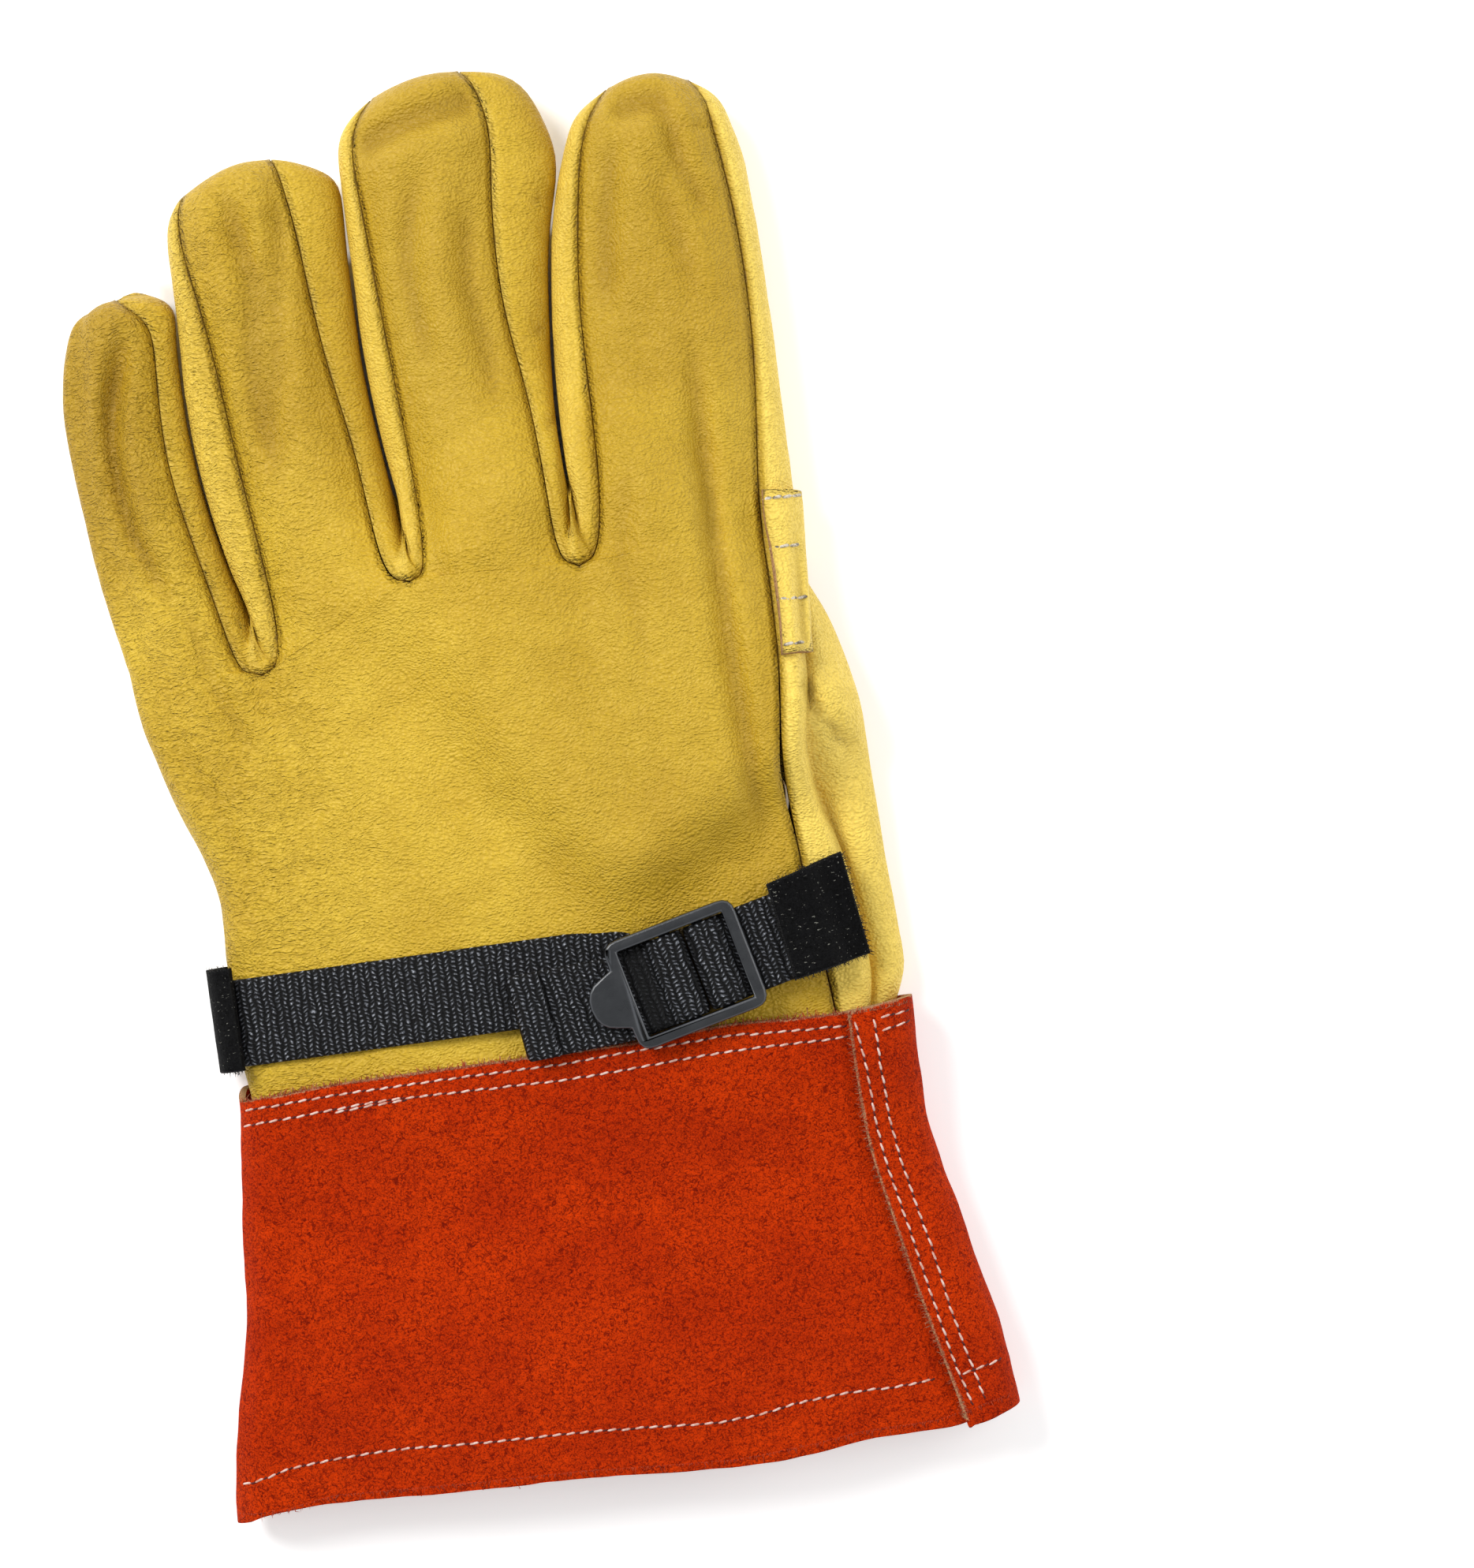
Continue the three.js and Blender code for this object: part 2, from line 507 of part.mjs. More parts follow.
function creaseDepth(x, y) {
  let depth = 0;
  for (const crease of CREASES) {
    const runX = crease.x2 - crease.x1;
    const runY = crease.y2 - crease.y1;
    const length = Math.hypot(runX, runY);
    const along = ((x - crease.x1) * runX + (y - crease.y1) * runY) / (length * length);
    const across = ((x - crease.x1) * runY - (y - crease.y1) * runX) / length;
    const fade = ramp(along, -0.12, 0.12) * ramp(along, 1.12, 0.88);
    depth = Math.max(depth, crease.depth * fade * Math.exp(-((across / crease.width) ** 2) * 2));
  }
  return depth;
}

function handHeight(x, y) {
  const little = readTable(BACK_HEIGHTS, "y", "little", y);
  const middle = readTable(BACK_HEIGHTS, "y", "middle", y);
  const thumb = readTable(BACK_HEIGHTS, "y", "thumb", y);
  const t = clamp((x - BACK_SPAN.from) / BACK_SPAN.width, 0, 1);
  return little * (1 - t) * (1 - 2 * t) + 4 * middle * t * (1 - t) + thumb * t * (2 * t - 1);
}

// A round side in section: from its top point over its outermost point to its palm point.
function roundSide(top, edge, palm, share) {
  if (share <= 0.5) {
    const angle = share * Math.PI;
    return {
      x: top.x + (edge.x - top.x) * Math.sin(angle),
      y: lerp(top.y, edge.y, share * 2),
      z: edge.z + (top.z - edge.z) * Math.cos(angle),
    };
  }
  const angle = (share - 0.5) * Math.PI;
  return {
    x: palm.x + (edge.x - palm.x) * Math.cos(angle),
    y: lerp(edge.y, palm.y, share * 2 - 1),
    z: edge.z - (edge.z - palm.z) * Math.sin(angle),
  };
}

// The three lines of a finger's side at a share of its length, heights without the lift.
function sideLines(side, share) {
  const at = share * (side.rows.length - 1);
  const read = (column) => curveThrough(side.rows.map((row) => row[column]), at);
  const seam = { x: read("seamX"), y: read("seamY") };
  const edge = { x: read("edgeX"), y: read("edgeY") };
  if (side.gap && edge.y < side.gap[side.gap.length - 1].y) {
    const limit = readTable(side.gap, "y", "x", edge.y) - side.gapSide * FINGER_GAP * Math.min(1, share * 30);
    const past = (edge.x - limit) * side.gapSide;
    edge.x = past > -TOUCH_REACH ? limit : edge.x;
  }
  const palm = {
    x: edge.x + (seam.x - edge.x) * PALM_SEAM_SHARE,
    y: 2 * edge.y - seam.y,
  };
  const round = roundOff(share);
  const start = handHeight(seam.x, seam.y);
  seam.z = lerp(TIP_Z + TIP_SPLIT, lerp(start, side.seamZ, ramp(share, 0, 0.3)) - SEAM_DIP, round);
  edge.z = lerp(TIP_Z, EDGE_Z, round);
  palm.z = lerp(TIP_Z - TIP_SPLIT, PALM_SEAM_Z, round);
  return { seam, edge, palm };
}

function lifted(point, share) {
  return new THREE.Vector3(point.x, point.y, point.z + share * lift(point.x, point.y));
}

// The web at a crotch: it leaves the back level and comes down upright on the palm.
function webPoint(seam, palm, down) {
  const angle = (down * Math.PI) / 2;
  return {
    x: lerp(seam.x, palm.x, down),
    y: lerp(seam.y, palm.y, Math.sin(angle)),
    z: lerp(palm.z, seam.z, Math.cos(angle)),
  };
}

function fingerSide(side, share, down) {
  const { seam, edge, palm } = sideLines(side, share);
  const point = roundSide(seam, edge, palm, down);
  if (side.gap) {
    const web = webPoint(seam, palm, down);
    const blend = ramp(share, 0, 0.12);
    point.y = lerp(web.y, point.y, blend);
    point.z = lerp(web.z, point.z, blend);
  }
  return lifted(point, lerp(BACK_LIFT_SHARE, 1, down));
}

function tipArc(finger, share, across) {
  return finger.tipArc * 4 * across * (1 - across) * ramp(share, 0.6, 1);
}

function fingerBack(finger, share, across) {
  const left = sideLines(SIDES[finger.left], share).seam;
  const right = sideLines(SIDES[finger.right], share).seam;
  const round = roundOff(share);
  const x = lerp(left.x, right.x, across);
  const y = lerp(left.y, right.y, across) + tipArc(finger, share, across);
  const dome = Math.sin(Math.PI * across) ** 0.6;
  const atEnd = across === 0 || across === 1;
  const tip = TIP_Z + (atEnd ? TIP_SPLIT : 0);
  const base = round > 0.001 ? lerp(left.z, right.z, across) : tip;
  const crown = finger.crown * lerp(KNUCKLE_CROWN, 1, ramp(share, 0, 0.3)) + SEAM_DIP;
  const height = base + crown * dome * round - (atEnd ? 0 : TIP_SPLIT * (1 - round));
  return lifted({ x, y, z: height - creaseDepth(x, y) * round * dome }, BACK_LIFT_SHARE);
}

function fingerPalm(finger, share, across) {
  const left = sideLines(SIDES[finger.left], share).palm;
  const right = sideLines(SIDES[finger.right], share).palm;
  const round = roundOff(share);
  const x = lerp(left.x, right.x, across);
  const y = lerp(left.y, right.y, across) + tipArc(finger, share, across);
  const flat = Math.min(1, Math.sin(Math.PI * across) * 1.5);
  const body = PALM_SEAM_Z * (1 - flat) ** 1.5;
  const atEnd = across === 0 || across === 1;
  const z = lerp(TIP_Z - (atEnd ? TIP_SPLIT : 0), body, round);
  return lifted({ x, y, z: Math.max(z, 0) }, 1);
}

function handEdge(column, y) {
  return readTable(HAND_EDGES, "y", column, y);
}

function littleFold(y) {
  return handEdge("little", y) + FOLD_INSET;
}

function littleSideLines(y) {
  const edgeX = handEdge("little", y);
  return {
    top: { x: edgeX + FOLD_INSET, y, z: handHeight(edgeX + FOLD_INSET, y) },
    edge: { x: edgeX, y, z: LITTLE_SIDE.edgeZ },
    palm: { x: edgeX + LITTLE_SIDE.palmInset, y, z: LITTLE_SIDE.palmZ },
  };
}

function thumbSidePoint(y, down) {
  const seamX = handEdge("seam", y);
  const stripX = handEdge("strip", y);
  const thumbX = handEdge("thumb", y);
  const top = handHeight(seamX, y) - SEAM_DIP;
  const at = down * (THUMB_SIDE.length - 1);
  const xs = THUMB_SIDE.map((row) => row.seam * seamX + row.strip * stripX + row.thumb * thumbX + row.out);
  const zs = THUMB_SIDE.map((row) => row.top * top + row.rise);
  return { x: curveThrough(xs, at), y, z: curveThrough(zs, at) };
}

function rowY(crotchY, share) {
  return lerp(WRIST_Y, crotchY, share);
}

function thumbWrap(share, down) {
  if (share > 1) {
    return fingerSide(SIDES.indexOuter, share - 1, down);
  }
  const first = sideLines(SIDES.indexOuter, 0);
  const plain = roundSide(first.seam, first.edge, first.palm, down);
  const y = rowY(plain.y, share);
  const formed = thumbSidePoint(y, down);
  const blend = ramp(y, ...KNUCKLE_ZONE) * (share === 1 ? 1 : share ** 2);
  const point = { x: lerp(formed.x, plain.x, blend), y, z: lerp(formed.z, plain.z, blend) };
  return lifted(share === 1 ? plain : point, lerp(BACK_LIFT_SHARE, 1, down));
}

function littleWrap(share, down) {
  if (share > 1) {
    return fingerSide(SIDES.littleOuter, share - 1, down);
  }
  const first = sideLines(SIDES.littleOuter, 0);
  const plain = roundSide(first.seam, first.edge, first.palm, down);
  const y = rowY(plain.y, share);
  const lines = littleSideLines(y);
  const formed = roundSide(lines.top, lines.edge, lines.palm, down);
  const blend = share ** 6;
  const point = { x: lerp(formed.x, plain.x, blend), y, z: lerp(formed.z, plain.z, blend) };
  return lifted(share === 1 ? plain : point, lerp(BACK_LIFT_SHARE, 1, down));
}

function handBack(finger, share, across) {
  const end = fingerBack(finger, 0, across);
  const endZ = end.z - BACK_LIFT_SHARE * lift(end.x, end.y);
  const y = rowY(end.y, share);
  const place = (end.x - littleFold(end.y)) / (handEdge("seam", end.y) - littleFold(end.y));
  const x = lerp(littleFold(y), handEdge("seam", y), place);
  const dip = SEAM_DIP * ramp(place, 0.94, 1);
  const extra = endZ - handHeight(end.x, end.y);
  const blend = share ** 3;
  const z = handHeight(x, y) - dip * (1 - blend) + extra * blend - creaseDepth(x, y) * (1 - share ** 8);
  return lifted({ x, y, z }, BACK_LIFT_SHARE);
}

function handPalm(finger, share, across) {
  const end = fingerPalm(finger, 0, across);
  const endZ = end.z - lift(end.x, end.y);
  const y = rowY(end.y, share);
  const leftEnd = sideLines(SIDES.littleOuter, 0).palm;
  const rightEnd = sideLines(SIDES.indexOuter, 0).palm;
  const place = (end.x - leftEnd.x) / (rightEnd.x - leftEnd.x);
  const left = littleWrap(share, 1);
  const right = thumbWrap(share, 1);
  const x = lerp(left.x, right.x, place);
  const rim = PALM_RIM * (1 - Math.min(1, Math.sin(Math.PI * clamp(place, 0, 1)) * 4));
  const blend = share ** 6;
  return lifted({ x, y, z: lerp(rim, endZ, blend) }, 1);
}

// The groups of columns round the hand leather, in order: down the thumb side, over the palm, up the little
// side and over the back. A group that starts with slit leaves a slit between two fingers.
const GROUPS = [
  { name: "thumbWrap", slit: false, point: (share, u) => thumbWrap(share, u) },
  { name: "palmIndex", slit: false, finger: "index", palm: true },
  { name: "palmMiddle", slit: true, finger: "middle", palm: true },
  { name: "palmRing", slit: true, finger: "ring", palm: true },
  { name: "palmLittle", slit: true, finger: "little", palm: true },
  { name: "littleWrap", slit: false, point: (share, u) => littleWrap(share, 1 - u) },
  { name: "backLittle", slit: false, finger: "little" },
  { name: "backRing", slit: true, finger: "ring" },
  { name: "backMiddle", slit: true, finger: "middle" },
  { name: "backIndex", slit: true, finger: "index" },
];

function groupPoint(group, share, u) {
  if (group.point) {
    return group.point(share, u);
  }
  const finger = FINGERS[group.finger];
  if (group.palm) {
    return share > 1 ? fingerPalm(finger, share - 1, 1 - u) : handPalm(finger, share, 1 - u);
  }
  return share > 1 ? fingerBack(finger, share - 1, u) : handBack(finger, share, u);
}

function newSheet() {
  return { points: [], faces: [] };
}

function addCell(sheet, a, b, c, d) {
  sheet.faces.push([a, b, c], [a, c, d]);
}

function gridSheet(rows, columns, pointAt) {
  const sheet = newSheet();
  for (let r = 0; r <= rows; r += 1) {
    for (let c = 0; c <= columns; c += 1) {
      sheet.points.push(pointAt(r, c));
    }
  }
  const id = (r, c) => r * (columns + 1) + c;
  for (let r = 0; r < rows; r += 1) {
    for (let c = 0; c < columns; c += 1) {
      addCell(sheet, id(r, c), id(r, c + 1), id(r + 1, c + 1), id(r + 1, c));
    }
  }
  return sheet;
}

function handRowShares() {
  const shares = [];
  for (let r = 0; r <= HAND_ROWS; r += 1) {
    shares.push(r / HAND_ROWS);
  }
  for (const station of FINGER_STATIONS) {
    shares.push(1 + station);
  }
  return shares;
}

function insideHole(sheet, cell) {
  const x = cell.reduce((sum, i) => sum + sheet.points[i].x, 0) / cell.length;
  const y = cell.reduce((sum, i) => sum + sheet.points[i].y, 0) / cell.length;
  return Math.hypot(x - THUMB_HOLE.x, y - THUMB_HOLE.y) < THUMB_HOLE.radius;
}

// The hand leather as one sheet, with the slits between the fingers and the thumb's hole.
// The hole's rim is given in order.
function handSheet() {
  const shares = handRowShares();
  const sheet = newSheet();
  const ids = GROUPS.map(() => []);
  GROUPS.forEach((group, g) => {
    const columns = GROUP_COLUMNS[group.name];
    shares.forEach((share, r) => {
      ids[g][r] = [];
      for (let c = 0; c <= columns; c += 1) {
        const joined = c === 0 && g > 0 && (!group.slit || share <= 1);
        if (joined) {
          ids[g][r][0] = ids[g - 1][r][GROUP_COLUMNS[GROUPS[g - 1].name]];
        } else {
          ids[g][r][c] = sheet.points.length;
          sheet.points.push(groupPoint(group, share, c / columns));
        }
      }
    });
  });
  const rimEdges = new Map();
  GROUPS.forEach((group, g) => {
    for (let r = 0; r < shares.length - 1; r += 1) {
      for (let c = 0; c < GROUP_COLUMNS[group.name]; c += 1) {
        const cell = [ids[g][r][c], ids[g][r][c + 1], ids[g][r + 1][c + 1], ids[g][r + 1][c]];
        if (group.name === "palmIndex" && insideHole(sheet, cell)) {
          cell.forEach((from, k) => {
            const to = cell[(k + 1) % 4];
            const twin = `${to},${from}`;
            if (rimEdges.has(twin)) {
              rimEdges.delete(twin);
            } else {
              rimEdges.set(`${from},${to}`, from);
            }
          });
        } else {
          addCell(sheet, ...cell);
        }
      }
    }
  });
  const rim = [...rimEdges.values()].map((id) => {
    const { along, across } = thumbFrame(sheet.points[id].x, sheet.points[id].y);
    return { id, angle: Math.atan2(along, across) };
  });
  rim.sort((a, b) => a.angle - b.angle);
  for (const { id, angle } of rim) {
    const spot = thumbPlace(THUMB_HOLE.radius * Math.sin(angle), THUMB_HOLE.radius * Math.cos(angle));
    sheet.points[id] = new THREE.Vector3(spot.x, spot.y, Math.max(lift(spot.x, spot.y), 0));
  }
  return { sheet, rim };
}

function thumbPlace(along, across) {
  return {
    x: THUMB_HOLE.x + along * THUMB_AXIS.x + across * THUMB_ACROSS.x,
    y: THUMB_HOLE.y + along * THUMB_AXIS.y + across * THUMB_ACROSS.y,
  };
}

function thumbSectionPoint(section, angle) {
  const cos = Math.cos(angle);
  const sin = Math.sin(angle);
  const half = (section.height * THUMB_TOP) / 2;
  const place = thumbPlace(section.along, section.half * Math.sign(cos) * Math.abs(cos) ** 0.8);
  return new THREE.Vector3(place.x, place.y, half * (1 + Math.sign(sin) * Math.abs(sin) ** 0.6));
}

// The thumb as a flat tube: from the hole's rim down, round and out to its closed tip.
function thumbSheet(handSheetPoints, rim) {
  const sheet = newSheet();
  const rings = THUMB_MOUTH_STEPS.map((step) => rim.map(({ id, angle }) => {
    const start = handSheetPoints[id];
    const end = thumbSectionPoint(THUMB_SECTIONS[0], angle);
    const corner = new THREE.Vector3(start.x, start.y, end.z);
    return new THREE.QuadraticBezierCurve3(start, corner, end).getPoint(step);
  }));
  for (const section of THUMB_SECTIONS) {
    rings.push(rim.map(({ angle }) => thumbSectionPoint(section, angle)));
  }
  rings.forEach((ring) => sheet.points.push(...ring));
  const count = rim.length;
  for (let r = 0; r < rings.length - 1; r += 1) {
    for (let k = 0; k < count; k += 1) {
      const next = (k + 1) % count;
      addCell(sheet, r * count + next, r * count + k, (r + 1) * count + k, (r + 1) * count + next);
    }
  }
  const tipPlace = thumbPlace(THUMB_TIP.along, 0);
  const tip = sheet.points.length;
  const last = (rings.length - 1) * count;
  sheet.points.push(new THREE.Vector3(tipPlace.x, tipPlace.y, THUMB_TOP * THUMB_TIP.height));
  for (let k = 0; k < count; k += 1) {
    sheet.faces.push([last + ((k + 1) % count), last + k, tip]);
  }
  return sheet;
}

// A fourchette: up one finger from its tip to the crotch and along the next finger to its tip.
function fourchetteSheet(leftSide, rightSide) {
  const stations = FINGER_STATIONS.slice(0, -1);
  const stops = [
    ...stations.map((share) => ({ side: leftSide, share })).reverse(),
    { side: leftSide, share: 0 },
    ...stations.map((share) => ({ side: rightSide, share })),
  ];
  return gridSheet(stops.length - 1, FOURCHETTE_COLUMNS, (r, c) => {
    return fingerSide(stops[r].side, stops[r].share, 1 - c / FOURCHETTE_COLUMNS);
  });
}

function placeKey(point) {
  return [point.x, point.y, point.z].map((value) => Math.round(value * 1e4)).join(",");
}

function addNormals(sheet, sums) {
  const ab = new THREE.Vector3();
  const ac = new THREE.Vector3();
  for (const [a, b, c] of sheet.faces) {
    ab.subVectors(sheet.points[b], sheet.points[a]);
    ac.subVectors(sheet.points[c], sheet.points[a]);
    const normal = new THREE.Vector3().crossVectors(ab, ac);
    const size = normal.length();
    if (size > 1e-9) {
      normal.divideScalar(Math.sqrt(size));
      for (const i of [a, b, c]) {
        const key = placeKey(sheet.points[i]);
        if (!sums.has(key)) {
          sums.set(key, new THREE.Vector3());
        }
        sums.get(key).add(normal);
      }
    }
  }
}

// Outward normals, the same for all sheets that meet in a seam.
function sharedNormals(sheets) {
  const sums = new Map();
  for (const sheet of sheets) {
    addNormals(sheet, sums);
  }
  for (const sheet of sheets) {
    sheet.normals = sheet.points.map((point) => {
      const sum = sums.get(placeKey(point)) ?? new THREE.Vector3(0, 0, 1);
      return sum.clone().normalize();
    });
  }
}

function borderEdges(sheet) {
  const edges = new Map();
  for (const face of sheet.faces) {
    face.forEach((from, k) => {
      const to = face[(k + 1) % 3];
      const twin = `${to},${from}`;
      if (edges.has(twin)) {
        edges.delete(twin);
      } else {
        edges.set(`${from},${to}`, [from, to]);
      }
    });
  }
  return [...edges.values()];
}

function cornerAt(point) {
  const near = (place) => Math.hypot(point.x - place.x, point.y - place.y) < place.reach;
  return TIGHT_CORNERS.find(near) ?? { halfGap: HALF_GAP, wall: 1 };
}

// Moves the sheet's border inward along the sheet, so that a small gap stays in each seam.
function borderPull(sheet, border) {
  const onBorder = new Set(border.flat());
  const pulls = new Map([...onBorder].map((id) => [id, new THREE.Vector3()]));
  for (const [from, to] of border) {
    const run = new THREE.Vector3().subVectors(sheet.points[to], sheet.points[from]).normalize();
    for (const id of [from, to]) {
      pulls.get(id).add(new THREE.Vector3().crossVectors(sheet.normals[id], run));
    }
  }
  for (const [id, pull] of pulls) {
    pull.normalize().multiplyScalar(cornerAt(sheet.points[id]).halfGap);
  }
  return pulls;
}

// A closed wall: the sheet is its outer face and the inner face lies one thickness below.
function wallFromSheet(sheet, thickness, pullBorder = true) {
  const border = borderEdges(sheet);
  const pulls = pullBorder ? borderPull(sheet, border) : new Map();
  const count = sheet.points.length;
  const outer = sheet.points.map((point, i) => point.clone().add(pulls.get(i) ?? new THREE.Vector3()));
  const inner = outer.map((point, i) => {
    const wall = pullBorder ? thickness * cornerAt(sheet.points[i]).wall : thickness;
    return point.clone().addScaledVector(sheet.normals[i], -wall);
  });
  const faces = [...sheet.faces];
  for (const [a, b, c] of sheet.faces) {
    faces.push([a + count, c + count, b + count]);
  }
  for (const [from, to] of border) {
    faces.push([to, from, from + count], [to, from + count, to + count]);
  }
  return geometryFrom([...outer, ...inner], faces);
}

function geometryFrom(points, faces) {
  const geometry = new THREE.BufferGeometry();
  const numbers = points.flatMap((p) => [p.x, p.y, p.z]);
  geometry.setAttribute("position", new THREE.Float32BufferAttribute(numbers, 3));
  geometry.setIndex(faces.flat());
  geometry.computeVertexNormals();
  return geometry;
}

function wallAlone(sheet, thickness, pullBorder = false) {
  sharedNormals([sheet]);
  return wallFromSheet(sheet, thickness, pullBorder);
}

// The reinforcement lies on the palm and goes round the index side up to the outer seam.
function patchSheet(palmHeight) {
  const columns = 6;
  const palmRows = (PATCH_ROWS.length - 1) * 2 + 1;
  const wrapStops = GROUP_COLUMNS.thumbWrap + 1;
  const read = (column, at) => curveThrough(PATCH_ROWS.map((row) => row[column]), at);
  return gridSheet(palmRows + wrapStops - 1, columns, (r, c) => {
    const t = c / columns;
    if (r < palmRows) {
      const x = lerp(read("innerX", r / 2), read("outerX", r / 2), t);
      const y = lerp(read("innerY", r / 2), read("outerY", r / 2), t);
      return new THREE.Vector3(x, y, Math.max(palmHeight(x, y) - PATCH_LAY, 0));
    }
    const down = 1 - (r - palmRows) / GROUP_COLUMNS.thumbWrap;
    const low = lerp(PATCH_END.low, PATCH_END.lowOnSide, ramp(down, 0.28, 0.5));
    return patchWrapPoint(lerp(low, PATCH_END.high, t), Math.max(down, 0.03));
  });
}

// The lowest height of the palm's facets close to a place in plan.
function palmHeightReader(sheet) {
  const faces = sheet.faces.map((face) => face.map((i) => sheet.points[i]));
  const cross = (p, q, x, y) => (q.x - p.x) * (y - p.y) - (q.y - p.y) * (x - p.x);
  const facing = faces.filter(([a, b, c]) => cross(a, b, c.x, c.y) < 0);
  const heightAt = (x, y) => {
    let low = Infinity;
    for (const [a, b, c] of facing) {
      const whole = cross(a, b, c.x, c.y);
      const shareA = cross(b, c, x, y) / whole;
      const shareB = cross(c, a, x, y) / whole;
      const shareC = 1 - shareA - shareB;
      if (shareA >= 0 && shareB >= 0 && shareC >= 0) {
        low = Math.min(low, a.z * shareA + b.z * shareB + c.z * shareC);
      }
    }
    return low;
  };
  return (x, y) => {
    let low = heightAt(x, y);
    for (let angle = 0; angle < 8; angle += 1) {
      const turn = (angle * Math.PI) / 4;
      low = Math.min(low, heightAt(x + PALM_REACH * Math.cos(turn), y + PALM_REACH * Math.sin(turn)));
    }
    return low;
  };
}

function wrapPointAt(y, down) {
  const first = sideLines(SIDES.indexOuter, 0);
  const crotchY = roundSide(first.seam, first.edge, first.palm, down).y;
  if (y <= crotchY) {
    return thumbWrap((y - WRIST_Y) / (crotchY - WRIST_Y), down);
  }
  const share = (y - crotchY) / INDEX_ROW_SPACING / (INDEX_OUTER.length - 1);
  return fingerSide(SIDES.indexOuter, share, down);
}

function patchWrapPoint(y, down) {
  const here = wrapPointAt(y, down);
  const step = 0.02;
  const along = new THREE.Vector3().subVectors(wrapPointAt(y + 1, down), wrapPointAt(y - 1, down));
  const round = new THREE.Vector3().subVectors(wrapPointAt(y, down + step), wrapPointAt(y, down - step));
  const out = new THREE.Vector3().crossVectors(round, along).normalize();
  return here.addScaledVector(out, PATCH_LAY);
}

function tongueSheet() {
  const columns = 8;
  return gridSheet(TONGUE_ROWS.length - 1, columns, (r, c) => {
    const row = TONGUE_ROWS[r];
    return new THREE.Vector3(lerp(row.left, row.right, c / columns), row.y, 0);
  });
}

function cuffEdge(column, y) {
  return readTable(CUFF_EDGES, "y", column, y);
}

// Height of the cuff's back leaf.
function cuffTop(x, y) {
  const plain = cuffEdge("top", y);
  const centre = 1 - CUFF_CROWN.drop * ((x - CUFF_CROWN.centre) / CUFF_CROWN.half) ** 2;
  const handY = Math.max(y, WRIST_Y);
  const hand = handHeight(x, handY) + BACK_LIFT_SHARE * lift(x, handY) + CUFF_OVER_HAND;
  return lerp(plain * centre, Math.max(hand, plain * centre), ramp(y, ...CUFF_OVER_WRIST));
}

function cuffFloor(x, y) {
  return PATCH_LAY * tongueLift(x, y);
}

function cuffPoint(part, t, y) {
  const left = cuffEdge("little", y);
  const right = cuffEdge("thumb", y);
  const lap = cuffEdge("lap", y);
  const start = Math.min(lap + CUFF_UNDERLAP, right - CUFF_START_MARGIN);
  const foldX = left + CUFF_FOLD;
  const palmX = right - CUFF_FOLD;
  if (part === "back") {
    const x = lerp(start, foldX, t);
    return new THREE.Vector3(x, y, cuffTop(x, y));
  }
  if (part === "littleFold") {
    const top = cuffTop(foldX, y);
    const angle = t * Math.PI;
    const floor = cuffFloor(foldX, y);
    const middle = (top + floor) / 2;
    const x = foldX - CUFF_FOLD * Math.sin(angle);
    return new THREE.Vector3(x, y, middle + (top - middle) * Math.cos(angle));
  }
  if (part === "palm") {
    const x = lerp(foldX, palmX, t);
    return new THREE.Vector3(x, y, cuffFloor(x, y));
  }
  const lapTop = cuffTop(start, y) + SUEDE + LAY_GAP;
  const lapFoldX = Math.max(palmX, lap + CUFF_LAP_WIDTH);
  if (part === "thumbFold") {
    const angle = (1 - t) * Math.PI;
    const middle = lapTop / 2;
    const centreX = lerp(palmX, lapFoldX, t);
    const x = centreX + (right - centreX) * Math.sin(angle);
    return new THREE.Vector3(x, y, middle + middle * Math.cos(angle));
  }
  const x = lerp(lapFoldX, lap, t);
  return new THREE.Vector3(x, y, cuffTop(Math.min(x, start), y) + SUEDE + LAY_GAP);
}

function cuffSheet() {
  const stops = [];
  for (const [part, count] of Object.entries(CUFF_COLUMNS)) {
    for (let c = stops.length === 0 ? 0 : 1; c <= count; c += 1) {
      stops.push({ part, t: c / count });
    }
  }
  const rows = CUFF_ROWS + HEM_FOLD.length;
  const edgeAt = ({ part, t }) => {
    const probe = cuffPoint(part, t, -60);
    const onPalm = part === "palm" || part === "thumbFold" || (part === "littleFold" && t > 0.5);
    const flat = onPalm && part !== "thumbFold";
    const topY = flat ? CUFF_PALM_TOP_Y : readTable(CUFF_TOP_EDGE, "x", "y", probe.x);
    return { topY, bottomY: readTable(CUFF_BOTTOM_EDGE, "x", "y", probe.x) };
  };
  const edges = stops.map(edgeAt);
  const place = (c, y) => cuffPoint(stops[c].part, stops[c].t, y);
  const sheet = gridSheet(rows, stops.length - 1, (r, c) => {
    const { topY, bottomY } = edges[c];
    return place(c, lerp(topY, bottomY, Math.min(r / CUFF_ROWS, 1)));
  });
  const width = stops.length;
  sharedNormals([sheet]);
  for (let c = 0; c < width; c += 1) {
    const last = CUFF_ROWS * width + c;
    const before = last - width;
    const inward = acrossNormal(sheet, last, before, c, width);
    HEM_FOLD.forEach((step, k) => {
      const y = edges[c].bottomY + step.up;
      const point = place(c, y).addScaledVector(inward, step.inward);
      sheet.points[(CUFF_ROWS + 1 + k) * width + c] = point;
    });
  }
  return sheet;
}

// The inward direction of the cuff's section at its bottom edge, from the neighbouring columns.
function acrossNormal(sheet, last, before, column, width) {
  const left = sheet.points[column > 0 ? last - 1 : last];
  const right = sheet.points[column < width - 1 ? last + 1 : last];
  const round = new THREE.Vector3().subVectors(right, left);
  const down = new THREE.Vector3().subVectors(sheet.points[last], sheet.points[before]);
  return new THREE.Vector3().crossVectors(down, round).normalize();
}

